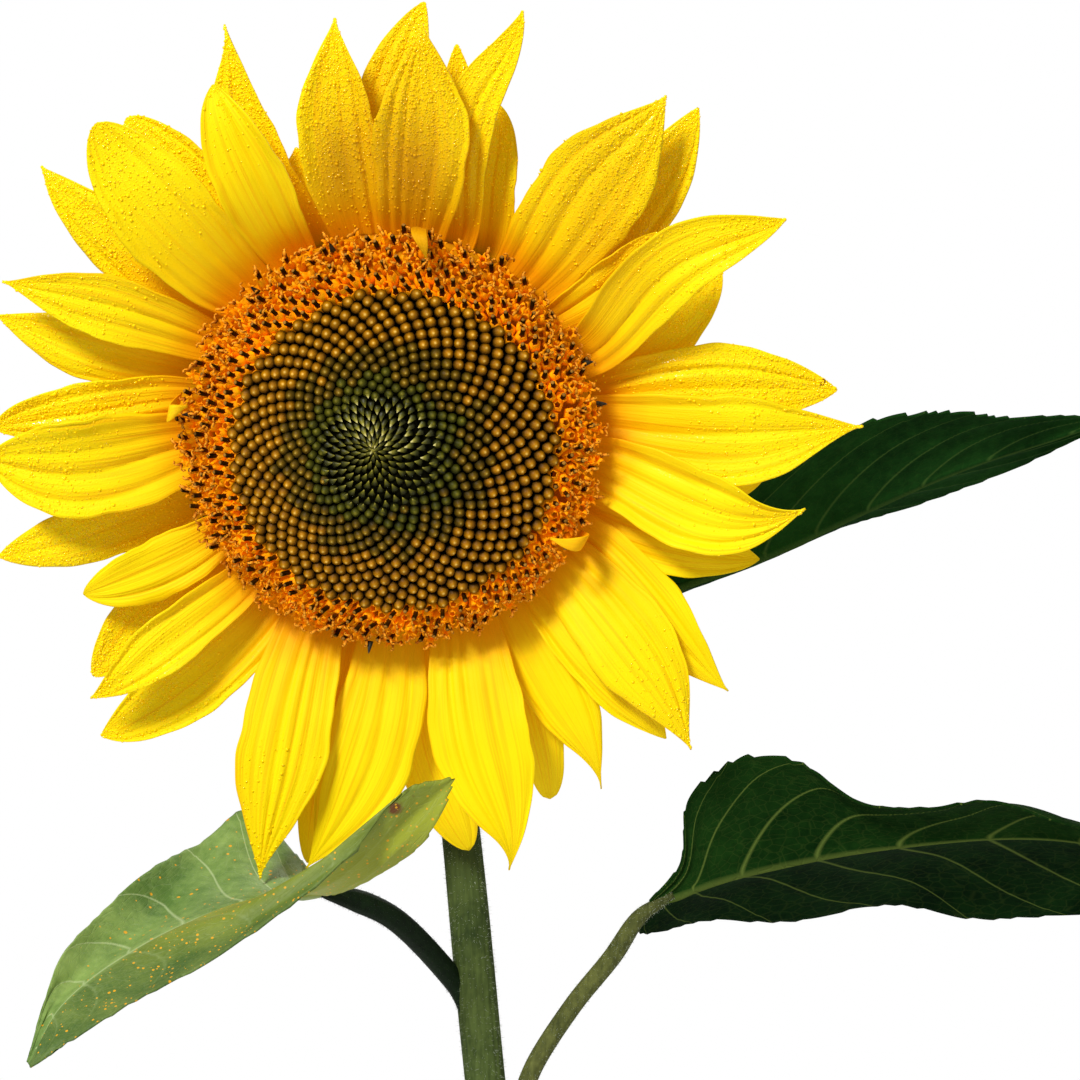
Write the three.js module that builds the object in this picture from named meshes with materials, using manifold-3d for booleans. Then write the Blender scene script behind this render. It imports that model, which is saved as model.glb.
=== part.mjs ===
// A sunflower in flower: a leaning stem cut flat at the ground, three stalked leaves and one nodding head.
// Millimetres, +Z up, the flower faces -Y. The origin is the middle of the flat cut under the stem.
import * as THREE from "three";
import { mergeVertices } from "three/addons/utils/BufferGeometryUtils.js";
import Module from "manifold-3d";

const wasm = await Module();
wasm.setup();

// Clearance between pieces that touch
const GAP = 0.3;

// Stem: centre line from the cut at the ground to the neck, and radii along it
const STEM_FOOT_RADIUS = 6;
const STEM_LOW_RADIUS = 4.5;
const STEM_HIGH_RADIUS = 3.8;
const STEM_FLARE_SHARE = 0.07;
const STEM_TAPER_END = 0.6;
const STEM_SWELL_START = 0.88;
const STEM_NECK_LENGTH = 5;
const STEM_SIDES = 16;
const STEM_STEPS = 36;
const STEM_PATH = [
  [0, 0, 0],
  [0, 0, 5],
  [-2.6, 0, 34],
  [-8.2, 0, 84.5],
  [-13.1, 0, 134.5],
  [-17.9, 1.5, 175],
  [-22, 3.5, 204],
  [-25, 0.5, 218],
];

// Head: middle of the disc's rim plane, how far it nods, and the turned forms that carry the florets
const HEAD_CENTRE = new THREE.Vector3(-25.5, -36, 215);
const HEAD_NOD = THREE.MathUtils.degToRad(14);
const RECEPTACLE_RADIUS = 37.7;
const RECEPTACLE_TOP = 2;
const RECEPTACLE_WALL_FOOT = -10;
const RECEPTACLE_BACK = -20;
const RECEPTACLE_SHOULDERS = [
  [16, -17.2],
  [29, -13.8],
];
const NECK_RADIUS = 5.6;
const NECK_SEAT_RADIUS = 6.4;
const DISC_MIDDLE_RADIUS = 19;
const DISC_BUD_RADIUS = 30.3;
const DISC_BUD_EDGE_HEIGHT = 11;
const DISC_BUD_SHOULDER = [26.3, 13.4];
const DISC_DOME_RADIUS = 14.2;
const DISC_DOME_HEIGHT = 15.8;
const DISC_DOME_EDGE_HEIGHT = 15;
const DISC_DIMPLE_RADIUS = 8.5;
const DISC_DIMPLE_HEIGHT = 14.4;
const DISC_RIM_RADIUS = 39.6;
const DISC_RIM_FOOT_HEIGHT = 5;
const DISC_RIM_HEIGHT = 12.5;
const DISC_RIM_ROUND = 2.2;
const DISC_SIDES = 48;

// How far the head is seen from, which sets where a tip that is measured by eye lies
const VIEW_DISTANCE = 600;
const VIEW_HEIGHT = 194.6;
const VIEW_RIGHT = 3;

// Ray florets: [angle of the base, tip to the right and up of the disc centre as seen, width, layer,
// bow of the whole ray and hook of its outer part to the left of its own way, sharpness of the point]
// Layer 0 lies at the back and layer 3 at the front; two rays of one layer never cross.
const RAYS = [
  [99, -11, 80.2, 14.8, 2, 0.8, 0, 1.4],
  [93, 6.3, 83.1, 13.5, 0, 0, 0, 0.8],
  [83, 5.8, 78.8, 17.7, 3, 0, 0, 1.4],
  [76, 12.5, 75, 8.7, 1, 0, 0, 0.8],
  [71, 25.4, 81.2, 10.2, 2, 5, 0, 1],
  [63, 20.5, 63.4, 10.5, 0, 2.6, 0, 0.8],
  [49, 52.9, 65.2, 20.5, 2, 1.4, 0, 1.25],
  [40, 59, 62.7, 14.4, 0, 0, 0, 0.9],
  [34, 51, 38.7, 10.4, 2, -0.5, 0, 0.8],
  [23, 75.8, 41.3, 13.6, 3, 5.2, 3, 1],
  [15, 63.5, 31.9, 11.9, 0, 1.2, 0, 0.8],
  [9, 85.4, 8.5, 15.3, 1, 1.7, 0, 0.8],
  [2, 90.4, 1.5, 17.5, 2, -2.2, 0, 1.5],
  [-8, 79.2, -14.2, 16, 3, 0, -4.6, 1.4],
  [-16, 72.9, -6.9, 9.6, 0, 0, 0, 0.7],
  [-23, 70.4, -24, 11.9, 1, 0, 0, 0.8],
  [-29, 64.6, -48.7, 13.5, 2, 0, -2.5, 1.2],
  [-38, 57.5, -60.6, 17.5, 3, 0, 0, 1.5],
  [-48, 52.7, -58.3, 11.2, 2, 0, 0, 0.8],
  [-57, 40.2, -68.5, 13.3, 1, -1, 1.8, 1.9],
  [-62, 30.6, -70.8, 9.4, 0, 0.3, 0, 0.45],
  [-70, 22.5, -83.8, 19.2, 3, -4, 2, 1.6],
  [-84, 15.2, -80.6, 13.5, 0, -1.6, 0, 0.6],
  [-91, -16.3, -83.3, 18, 2, 0, 0, 1.3],
  [-101, -16.2, -82.3, 11, 1, 0, 0, 0.7],
  [-113, -25, -85, 17.6, 3, 1.4, 0, 1.4],
  [-125, -56.3, -58.3, 14.2, 1, -0.8, 0, 0.8],
  [-135, -58.3, -51.2, 10.8, 3, -1.6, 0, 1.2],
  [-143, -57.3, -46.3, 12.8, 0, -0.8, 0, 0.7],
  [-149, -59.2, -30.6, 11.9, 2, 0, 0, 0.7],
  [-161, -76, -23.8, 11.9, 0, 0, 0, 0.8],
  [-176, -78.1, -5.6, 19.5, 2, 1.2, 0, 0.7],
  [171, -76.5, 1.2, 11.9, 1, 1.6, 0, 0.7],
  [164, -76.3, 22.9, 12.2, 0, 0.4, 0, 1.1],
  [153, -75.4, 29.2, 12.2, 2, -0.4, 0, 1.4],
  [147, -67.7, 51.3, 12.7, 1, -1.2, 0, 1],
  [135, -56.5, 59.6, 18.6, 3, -0.3, 0, 0.6],
  [128, -51.5, 60.8, 15, 0, 0, 0, 0.6],
  [118, -34.8, 67.3, 13.4, 3, -0.6, 0, 0.8],
  [113, -32.3, 78.8, 12.8, 1, 3.4, 0, 1.7],
  [108, -18.3, 55, 9.2, 0, 1, 0, 0.8],
];
const RAY_BASE_RADIUS = RECEPTACLE_RADIUS + GAP;
const RAY_THICKNESS = 0.8;
const RAY_BASE_HEIGHTS = [-6, -4.4, -2.8, -1.2];
const RAY_MIDDLE_HEIGHTS = [-1, 2.5, 6, 9.5];
const RAY_TIP_HEIGHTS = [-3, 1.5, 6, 10];
const RAY_FULL_LENGTH = 38;
const RAY_CUP = 0.09;
const RAY_WIDEST = 0.48;
const RAY_BASE_SHARE = 0.42;
const RAY_TIP_HALF = 0.4;
const RAY_BOW_PEAK = 16;
const RAY_HOOK_PEAK = 6.75;
const RAY_COLUMNS = 4;
const RAY_ROWS = 7;

// Stunted florets that curl in over the disc's rim: angle, how far in the tip reaches, width
const STUNTED = [
  [-28, 31.5, 4.5],
  [170, 33, 5],
  [80, 32, 4],
];
const STUNTED_BASE_RADIUS = 40.6;
const STUNTED_SWING_RADIUS = 43.5;
const STUNTED_BASE_HEIGHT = 4;
const STUNTED_SWING_HEIGHT = 19.5;
const STUNTED_TIP_HEIGHT = 14.5;
const STUNTED_THICKNESS = 0.5;
const STUNTED_POINT = 0.8;
const STUNTED_COLUMNS = 2;
const STUNTED_ROWS = 6;

// Green bracts behind the rays: two rings of them
const BRACT_COUNT = 18;
const BRACT_WIDTH = 10;
const BRACT_THICKNESS = 0.7;
const BRACT_COLLAR = 1.2;
const BRACT_COLUMNS = 2;
const BRACT_ROWS = 3;
const BRACT_TIP_SHARE = 0.02;
const BRACT_INSET = 0.04;
const BRACT_RINGS = [
  { name: "bracts_outer", height: -9.3, reach: 55, tipHeight: -14, turn: 0 },
  { name: "bracts_inner", height: -7.6, reach: 51, tipHeight: -8.4, turn: 0.5 },
];

// Leaves: stalk, midrib and the two edges from the stalk to the tip
const LEAF_THICKNESS = 1.1;
const STALK_END_RADIUS = 1.6;
const STALK_COLLAR_SHARE = 0.22;
const STALK_COLLAR_GAIN = 1.65;
const STALK_SLIM_SHARE = 0.8;
const STALK_SIDES = 8;
const STALK_STEPS = 16;
const LEAF_COLUMNS = 8;
const LEAF_ROWS = 14;
const LEAVES = [
  {
    name: "left",
    stalkRadius: 2.3,
    bulge: -0.09,
    stalk: [
      [-15.35, 0, 107.2], [-17.6, -0.5, 107.4], [-26, -18, 119.6], [-33.3, -24.4, 124], [-36.9, -27.3, 125.1],
    ],
    midrib: [
      [-37.9, -28.2, 126], [-52.8, -39, 126], [-72.2, -52, 118.8], [-85, -64, 109.3], [-89.4, -72, 100],
    ],
    edges: [
      [[-37.4, -27, 126.8], [-43.5, -16, 129.8], [-50, -7, 136], [-57, -4, 139.5], [-66, -13, 134.2],
        [-78, -34, 126], [-86, -53, 117.6], [-89.6, -71.6, 100.6]],
      [[-37, -29.2, 126], [-26.3, -40, 132.2], [-15.9, -48, 142], [-13.4, -49, 149.4], [-20, -51, 150],
        [-33, -52, 134.4], [-53.5, -60, 120.4], [-70.8, -68, 110.8], [-82, -72, 104], [-89.2, -72.4, 99.4]],
    ],
  },
  {
    name: "right",
    stalkRadius: 1.9,
    bulge: 0.06,
    stalk: [
      [-2.3, 0, 73.5], [-0.2, 0, 74.1], [0.9, 0.6, 85.4], [9.3, 1.5, 98.9], [17.7, -0.5, 109.7],
      [23.4, -3.3, 118.4],
    ],
    midrib: [[25.4, -4.2, 121], [42, -8, 127], [70.4, -12, 133.2], [104, -14, 135.5], [139, -15, 129]],
    edges: [
      [[25, -4.8, 121.8], [31, -9, 129.6], [32.6, -14, 143.6], [41.3, -17.6, 151], [54, -20.4, 150.9],
        [66, -22, 143.4], [80, -24, 142], [91, -26, 144], [109, -24, 138], [139, -15.3, 129.8]],
      [[25.8, -3.6, 120.2], [22.5, 2, 115.4], [28.5, 8, 113.9], [40, 14, 116], [59, 18, 115.2],
        [79, 18, 118.2], [97, 14, 116], [115, 6, 117.5], [139, -14.7, 128.2]],
    ],
  },
  {
    name: "back",
    stalkRadius: 1.7,
    bulge: 0.05,
    stalk: [[-10.8, 0.6, 151.4], [-8.4, 1, 151.7], [2, 7, 163], [14, 9, 174.5], [22.6, 8.3, 181.4]],
    midrib: [[23.7, 8, 182.4], [48, 7, 190.9], [67.2, 6, 199.7], [88.9, 5, 209.2], [120.5, 5, 219.6]],
    edges: [
      [[23.4, 7.6, 183.2], [25, 4, 192], [47.6, -4, 207], [72, -9, 219.8], [87, -8, 220.3], [99, -4, 219.9],
        [120.4, 4.7, 220.2]],
      [[24.4, 8.5, 181.8], [24.5, 14, 179.4], [35, 20, 184.5], [60.7, 26, 194.8], [77.5, 24, 201],
        [98, 17, 207.8], [120.6, 5.3, 219]],
    ],
  },
];

const colours = {
  ray: new THREE.MeshStandardMaterial({ color: 0xf7dc12, roughness: 0.55, metalness: 0 }),
  stem: new THREE.MeshStandardMaterial({ color: 0x5d7a35, roughness: 0.7, metalness: 0 }),
  stalk: new THREE.MeshStandardMaterial({ color: 0x2f4c22, roughness: 0.7, metalness: 0 }),
  leaf: new THREE.MeshStandardMaterial({ color: 0x2b5a2b, roughness: 0.75, metalness: 0 }),
  bract: new THREE.MeshStandardMaterial({ color: 0x4b7a33, roughness: 0.75, metalness: 0 }),
  middle: new THREE.MeshStandardMaterial({ color: 0x2f3a14, roughness: 0.85, metalness: 0 }),
  buds: new THREE.MeshStandardMaterial({ color: 0x7a5314, roughness: 0.85, metalness: 0 }),
  florets: new THREE.MeshStandardMaterial({ color: 0xc77a12, roughness: 0.8, metalness: 0 }),
};

const vector = ([x, y, z]) => new THREE.Vector3(x, y, z);
const along = (points) => new THREE.CatmullRomCurve3(points.map(vector));

function closed(geometry) {
  geometry.deleteAttribute("normal");
  geometry.deleteAttribute("uv");
  return mergeVertices(geometry, 1e-4);
}

function named(name, geometry, material) {
  geometry.computeVertexNormals();
  const mesh = new THREE.Mesh(geometry, material);
  mesh.name = name;
  return mesh;
}

// Moves every vertex of a geometry to the place that a function gives for it
function reshape(geometry, place) {
  const position = geometry.getAttribute("position");
  const vertex = new THREE.Vector3();
  for (let i = 0; i < position.count; i++) {
    vertex.fromBufferAttribute(position, i);
    position.setXYZ(i, ...place(vertex).toArray());
  }
  return closed(geometry);
}

// A round limb bent along a curve; side is a direction that the curve never runs along
function limb(curve, radius, side, sides, steps) {
  return reshape(new THREE.CylinderGeometry(1, 1, 1, sides, steps), (v) => {
    const share = v.y + 0.5;
    const forward = curve.getTangent(share);
    const across = side.clone().addScaledVector(forward, -side.dot(forward)).normalize();
    const over = across.clone().cross(forward);
    return curve
      .getPoint(share)
      .addScaledVector(across, v.x * radius(share))
      .addScaledVector(over, v.z * radius(share));
  });
}

// A thin blade: surface(across, share) gives its middle, with across from -1 to 1 and share from 0 to 1
function blade(surface, thickness, columns, rows) {
  const step = 1e-3;
  return reshape(new THREE.BoxGeometry(2, 1, 1, columns, 1, rows), (v) => {
    const share = v.z + 0.5;
    const low = Math.max(0, share - step);
    const high = Math.min(1, share + step);
    const forward = surface(v.x, high).sub(surface(v.x, low));
    const across = surface(Math.min(1, v.x + step), share).sub(surface(Math.max(-1, v.x - step), share));
    const up = forward.cross(across).normalize();
    return surface(v.x, share).addScaledVector(up, v.y * thickness);
  });
}

function solid(geometry) {
  const mesh = new wasm.Mesh({
    numProp: 3,
    vertProperties: geometry.getAttribute("position").array,
    triVerts: new Uint32Array(geometry.index.array),
  });
  return new wasm.Manifold(mesh);
}

function geometryOf(joined) {
  const mesh = joined.getMesh();
  const geometry = new THREE.BufferGeometry();
  geometry.setAttribute("position", new THREE.BufferAttribute(mesh.vertProperties, 3));
  geometry.setIndex(new THREE.BufferAttribute(mesh.triVerts, 1));
  return geometry;
}

// A turned form about the head's axis, which is the group's own Z
function turned(profile, sides = DISC_SIDES) {
  const points = profile.map(([radius, height]) => new THREE.Vector2(radius, height));
  return closed(new THREE.LatheGeometry(points, sides).rotateX(Math.PI / 2));
}

function stem() {
  const facing = new THREE.Vector3(0, -Math.cos(HEAD_NOD), -Math.sin(HEAD_NOD));
  const neck = HEAD_CENTRE.clone().addScaledVector(facing, RECEPTACLE_BACK - GAP);
  const beforeNeck = neck.clone().addScaledVector(facing, -STEM_NECK_LENGTH);
  const path = [...STEM_PATH, beforeNeck.toArray(), neck.toArray()];
  const radius = (share) => {
    const flare = Math.max(0, 1 - share / STEM_FLARE_SHARE) ** 2;
    const swell = Math.max(0, (share - STEM_SWELL_START) / (1 - STEM_SWELL_START)) ** 2;
    const taper = Math.min(1, share / STEM_TAPER_END);
    const plain = THREE.MathUtils.lerp(STEM_LOW_RADIUS, STEM_HIGH_RADIUS, taper);
    return plain + (STEM_FOOT_RADIUS - STEM_LOW_RADIUS) * flare + (NECK_RADIUS - STEM_HIGH_RADIUS) * swell;
  };
  const shape = limb(along(path), radius, new THREE.Vector3(1, 0, 0), STEM_SIDES, STEM_STEPS);
  return named("stem", shape, colours.stem);
}

function stalk(leaf) {
  const radius = (share) => {
    const swell = (STALK_COLLAR_GAIN - 1) * leaf.stalkRadius * Math.max(0, 1 - share / STALK_COLLAR_SHARE);
    const slim = Math.max(0, (share - STALK_SLIM_SHARE) / (1 - STALK_SLIM_SHARE)) ** 2;
    return leaf.stalkRadius + swell - (leaf.stalkRadius - STALK_END_RADIUS) * slim;
  };
  const shape = limb(along(leaf.stalk), radius, new THREE.Vector3(0, 0.6, 0.8), STALK_SIDES, STALK_STEPS);
  return named(leaf.name + "_petiole", shape, colours.stalk);
}

function leafBlade(leaf) {
  const midrib = along(leaf.midrib);
  const [left, right] = leaf.edges.map(along);
  const surface = (across, share) => {
    const middle = midrib.getPoint(share);
    const edge = (across < 0 ? left : right).getPoint(share);
    const reach = Math.abs(across);
    const lift = leaf.bulge * middle.distanceTo(edge) * Math.sin(Math.PI * reach);
    return middle.lerp(edge, reach).add(new THREE.Vector3(0, 0, lift));
  };
  return named(leaf.name + "_leaf", blade(surface, LEAF_THICKNESS, LEAF_COLUMNS, LEAF_ROWS), colours.leaf);
}

function receptacle() {
  const profile = [
    [0, RECEPTACLE_BACK],
    [NECK_SEAT_RADIUS, RECEPTACLE_BACK],
    ...RECEPTACLE_SHOULDERS,
    [RECEPTACLE_RADIUS, RECEPTACLE_WALL_FOOT],
    [RECEPTACLE_RADIUS, RECEPTACLE_TOP],
    [0, RECEPTACLE_TOP],
  ];
  return named("receptacle", turned(profile), colours.bract);
}

function disc() {
  const foot = RECEPTACLE_TOP + GAP;
  const budInner = DISC_MIDDLE_RADIUS + GAP;
  const rimInner = DISC_BUD_RADIUS + GAP;
  const middle = [
    [0, foot],
    [DISC_MIDDLE_RADIUS, foot],
    [DISC_MIDDLE_RADIUS, DISC_DOME_EDGE_HEIGHT],
    [DISC_DOME_RADIUS, DISC_DOME_HEIGHT],
    [DISC_DIMPLE_RADIUS, DISC_DOME_HEIGHT - GAP],
    [0, DISC_DIMPLE_HEIGHT],
  ];
  const buds = [
    [budInner, foot],
    [DISC_BUD_RADIUS, foot],
    [DISC_BUD_RADIUS, DISC_BUD_EDGE_HEIGHT],
    DISC_BUD_SHOULDER,
    [budInner, DISC_DOME_EDGE_HEIGHT],
    [budInner, foot],
  ];
  const florets = [
    [rimInner, foot],
    [RECEPTACLE_RADIUS, foot],
    [DISC_RIM_RADIUS, DISC_RIM_FOOT_HEIGHT],
    [DISC_RIM_RADIUS, DISC_RIM_HEIGHT - DISC_RIM_ROUND],
    [DISC_RIM_RADIUS - DISC_RIM_ROUND, DISC_RIM_HEIGHT],
    [rimInner + DISC_RIM_ROUND, DISC_RIM_HEIGHT],
    [rimInner, DISC_RIM_HEIGHT - DISC_RIM_ROUND],
    [rimInner, foot],
  ];
  return [
    named("disc_centre", turned(middle), colours.middle),
    named("disc_buds", turned(buds), colours.buds),
    named("disc_open_florets", turned(florets), colours.florets),
  ];
}

// Where a point that is seen right and up of the disc centre lies on the head, at a height over its rim plane
function onHead(right, up, height) {
  const slope = Math.sin(HEAD_NOD);
  const rise = Math.cos(HEAD_NOD);
  const sightRight = HEAD_CENTRE.x - VIEW_RIGHT + right;
  const sightUp = HEAD_CENTRE.z - VIEW_HEIGHT + up;
  const nearer = 1 - (height * rise) / VIEW_DISTANCE;
  const lean = sightUp * nearer + height * slope - (HEAD_CENTRE.z - VIEW_HEIGHT);
  const y = lean / (rise + (sightUp * slope) / VIEW_DISTANCE);
  const shrink = nearer - (y * slope) / VIEW_DISTANCE;
  return new THREE.Vector3(VIEW_RIGHT + sightRight * shrink - HEAD_CENTRE.x, y, height);
}

// Half the width of a ray at a share of its length: narrow foot, widest near the middle, pointed tip
function rayHalf(share, width, point) {
  const rise = Math.sin((Math.min(1, share / RAY_WIDEST) * Math.PI) / 2);
  const past = Math.max(0, (share - RAY_WIDEST) / (1 - RAY_WIDEST));
  const half = 0.5 * width * (RAY_BASE_SHARE + (1 - RAY_BASE_SHARE) * rise) * (1 - past ** 2) ** point;
  return Math.max(RAY_TIP_HALF, half);
}

function ray([degrees, right, up, width, layer, bow, hook, point], index) {
  const angle = THREE.MathUtils.degToRad(degrees);
  const out = new THREE.Vector3(Math.cos(angle), Math.sin(angle), 0);
  const base = out.clone().multiplyScalar(RAY_BASE_RADIUS).setZ(RAY_BASE_HEIGHTS[layer]);
  const reach = Math.min(1, (Math.hypot(right, up) - RAY_BASE_RADIUS) / RAY_FULL_LENGTH);
  const rise = (height) => THREE.MathUtils.lerp(base.z, height, reach);
  const tip = onHead(right, up, rise(RAY_TIP_HEIGHTS[layer]));
  const bend = base.clone().addScaledVector(out, base.distanceTo(tip) / 2);
  bend.z = 2 * rise(RAY_MIDDLE_HEIGHTS[layer]) - (base.z + tip.z) / 2;
  const plain = new THREE.QuadraticBezierCurve3(base, bend, tip);
  const sideways = new THREE.Vector3(base.y - tip.y, tip.x - base.x, 0).normalize();
  const middle = (share) => {
    const still = share ** 2 * (1 - share);
    const shift = RAY_BOW_PEAK * bow * still * (1 - share) + RAY_HOOK_PEAK * hook * still;
    return plain.getPoint(share).addScaledVector(sideways, shift);
  };
  const facing = new THREE.Vector3(0, 0, 1);
  const step = 1e-3;
  const shape = reshape(new THREE.BoxGeometry(2, 1, 1, RAY_COLUMNS, 1, RAY_ROWS), (v) => {
    const share = v.z + 0.5;
    const half = rayHalf(share, width, point);
    const forward = middle(Math.min(1, share + step)).sub(middle(Math.max(0, share - step)));
    const across = facing.clone().cross(forward).normalize();
    const lift = v.y * RAY_THICKNESS + RAY_CUP * v.x * v.x * half * 2;
    return middle(share).addScaledVector(across, v.x * half).addScaledVector(facing, lift);
  });
  return named("ray_floret_" + String(index + 1).padStart(2, "0"), shape, colours.ray);
}

function stunted([degrees, reach, width], index) {
  const angle = THREE.MathUtils.degToRad(degrees);
  const out = new THREE.Vector3(Math.cos(angle), Math.sin(angle), 0);
  const at = (radius, height) => out.clone().multiplyScalar(radius).setZ(height);
  const centre = new THREE.QuadraticBezierCurve3(
    at(STUNTED_BASE_RADIUS, STUNTED_BASE_HEIGHT),
    at(STUNTED_SWING_RADIUS, STUNTED_SWING_HEIGHT),
    at(reach, STUNTED_TIP_HEIGHT),
  );
  const across = new THREE.Vector3(-Math.sin(angle), Math.cos(angle), 0);
  const surface = (x, share) => {
    return centre.getPoint(share).addScaledVector(across, x * rayHalf(share, width, STUNTED_POINT));
  };
  const shape = blade(surface, STUNTED_THICKNESS, STUNTED_COLUMNS, STUNTED_ROWS);
  return named("stunted_floret_" + (index + 1), shape, colours.ray);
}

function bractRing({ name, height, reach, tipHeight, turn }) {
  const inner = RECEPTACLE_RADIUS + GAP;
  const half = BRACT_THICKNESS / 2;
  const collar = [
    [inner, height - half],
    [inner + BRACT_COLLAR, height - half],
    [inner + BRACT_COLLAR, height + half],
    [inner, height + half],
    [inner, height - half],
  ];
  let joined = solid(turned(collar, BRACT_COUNT * 3));
  for (let i = 0; i < BRACT_COUNT; i++) {
    const angle = ((i + turn) / BRACT_COUNT) * 2 * Math.PI;
    const at = (radius, z) => new THREE.Vector3(Math.cos(angle) * radius, Math.sin(angle) * radius, z);
    const root = inner + BRACT_COLLAR / 2;
    const centre = new THREE.QuadraticBezierCurve3(
      at(root, height),
      at((root + reach) / 2, height),
      at(reach, tipHeight),
    );
    const across = new THREE.Vector3(-Math.sin(angle), Math.cos(angle), 0);
    const surface = (x, share) => {
      const side = (-x * BRACT_WIDTH * (1 + BRACT_TIP_SHARE - share ** 2)) / 2;
      return centre.getPoint(share).addScaledVector(across, side);
    };
    const shape = blade(surface, BRACT_THICKNESS - 2 * BRACT_INSET, BRACT_COLUMNS, BRACT_ROWS);
    joined = joined.add(solid(shape));
  }
  return named(name, geometryOf(joined), colours.bract);
}

const head = new THREE.Group();
head.position.copy(HEAD_CENTRE);
head.rotation.x = Math.PI / 2 + HEAD_NOD;
head.add(receptacle(), ...disc(), ...BRACT_RINGS.map(bractRing), ...RAYS.map(ray), ...STUNTED.map(stunted));

const plant = new THREE.Group();
plant.add(stem(), ...LEAVES.map(stalk), ...LEAVES.map(leafBlade), head);

export default plant;
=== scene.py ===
"""A sunflower in flower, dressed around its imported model: stem, leaves, and one nodding head."""
import math

import bmesh
import bpy
import numpy as np
from mathutils import Matrix, Vector


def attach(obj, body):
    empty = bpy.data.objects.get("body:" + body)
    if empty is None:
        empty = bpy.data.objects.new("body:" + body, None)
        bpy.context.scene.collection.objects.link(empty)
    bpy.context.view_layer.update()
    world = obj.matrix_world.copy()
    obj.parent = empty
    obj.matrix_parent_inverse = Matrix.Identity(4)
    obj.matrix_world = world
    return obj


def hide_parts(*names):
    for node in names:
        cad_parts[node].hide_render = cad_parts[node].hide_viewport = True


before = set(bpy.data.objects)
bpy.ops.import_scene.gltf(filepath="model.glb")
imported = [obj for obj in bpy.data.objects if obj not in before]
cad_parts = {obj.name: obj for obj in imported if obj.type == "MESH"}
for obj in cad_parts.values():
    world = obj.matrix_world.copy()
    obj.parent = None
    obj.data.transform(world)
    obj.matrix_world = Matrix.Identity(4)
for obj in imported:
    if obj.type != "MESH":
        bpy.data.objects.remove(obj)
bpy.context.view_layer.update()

# The view
# A long lens stands level in front of the plant, as far off as the head was measured from.
# The plant is written in millimetres, and a piece is brought to metres as it is made. The floor and
# the lamps are written in metres.
MM = 0.001
EYE = np.array([3, -636, 194.6])
VIEW_DISTANCE = 600
VIEW_WIDTH = 207.7
SENSOR = 36

camera = bpy.data.objects.new("camera", bpy.data.cameras.new("camera"))
camera.data.sensor_width = SENSOR
camera.data.lens = SENSOR * VIEW_DISTANCE / VIEW_WIDTH
camera.data.clip_start = 0.01
camera.location = EYE * MM
camera.rotation_euler = (math.radians(90), 0, 0)
bpy.context.scene.collection.objects.link(camera)
bpy.context.scene.camera = camera

# Stem
# One green stalk, finely ribbed and rough with short white hairs. It leans to the left, crooks
# over at the top and swells into the back of the head. It is cut flat at the ground.
STEM_PATH = [
    (0, 0, 0), (0, 0, 5), (-2.6, 0, 34), (-8.2, 0, 84.5), (-13.1, 0, 134.5),
    (-17.9, 1.5, 175), (-22, 3.5, 204), (-25, 0.5, 218),
]
STEM_FOOT_RADIUS = 6
STEM_LOW_RADIUS = 4.5
STEM_HIGH_RADIUS = 3.8
STEM_FLARE_SHARE = 0.07
STEM_TAPER_END = 0.6
STEM_SWELL_START = 0.88
STEM_NECK_LENGTH = 5
STEM_RIBS = 19
STEM_RIB_HEIGHT = 0.11
STEM_KNOTS = 0.16
STEM_SIDES = 76
STEM_STEPS = 220
STEM_HAIR_COUNT = 13000
STEM_HAIR_LENGTH = 1
STEM_PATCHES = 60
SHADE_FOOT = 110
SHADE_TOP = 150
NECK_FOOT = 172
NECK_TOP = 216
NECK_RADIUS = 5.6
HEAD_CENTRE = np.array([-25.5, -36, 215])
HEAD_NOD = math.radians(14)
RECEPTACLE_BACK = -20
GAP = 0.3
HAIR_WIDTHS = (0.05, 0.085)
HAIR_ROOT_DEPTH = 0.04
HEAD_GREENS = ((62, 90, 38), (104, 128, 66))
FACING = np.array([0, -math.cos(HEAD_NOD), -math.sin(HEAD_NOD)])
luck = np.random.default_rng(7)


def unit(vectors):
    """Vectors of length one."""
    return vectors / np.maximum(np.linalg.norm(vectors, axis=-1, keepdims=True), 1e-9)


def along(points):
    """A smooth curve through points, as a function from an array of shares to places."""
    inner = np.array(points, float)
    ends = np.vstack([2 * inner[0] - inner[1], inner, 2 * inner[-1] - inner[-2]])

    def curve(shares):
        place = np.clip(shares, 0, 1) * (len(inner) - 1)
        at = np.minimum(place.astype(int), len(inner) - 2)
        w = (place - at)[:, None]
        a, b, c, d = (ends[at + k] for k in range(4))
        before, between, after = (
            np.sqrt(np.linalg.norm(q - p, axis=1))[:, None] for p, q in ((a, b), (b, c), (c, d))
        )
        leave = ((b - a) / before - (c - a) / (before + between) + (c - b) / between) * between
        reach = ((c - b) / between - (d - b) / (between + after) + (d - c) / after) * between
        square = -3 * b + 3 * c - 2 * leave - reach
        cube = 2 * b - 2 * c + leave + reach
        return b + leave * w + square * w**2 + cube * w**3

    return curve


def reshape(bm, place):
    """Moves each vertex to where place(x, y, z) puts it, with the arrays of all coordinates."""
    now = np.array([v.co for v in bm.verts])
    for vertex, spot in zip(bm.verts, place(now[:, 0], now[:, 1], now[:, 2])):
        vertex.co = spot


def face_out(bm):
    """Turns all faces of a closed form outwards."""
    bmesh.ops.recalc_face_normals(bm, faces=bm.faces)


def limb_frame(path, shares, side):
    """Places along a limb, with the directions along it, across it and over it."""
    step = 1e-3
    forward = unit(path(np.minimum(shares + step, 1)) - path(np.maximum(shares - step, 0)))
    across = unit(side - (forward @ side)[:, None] * forward)
    return path(shares), forward, across, np.cross(across, forward)


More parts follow.
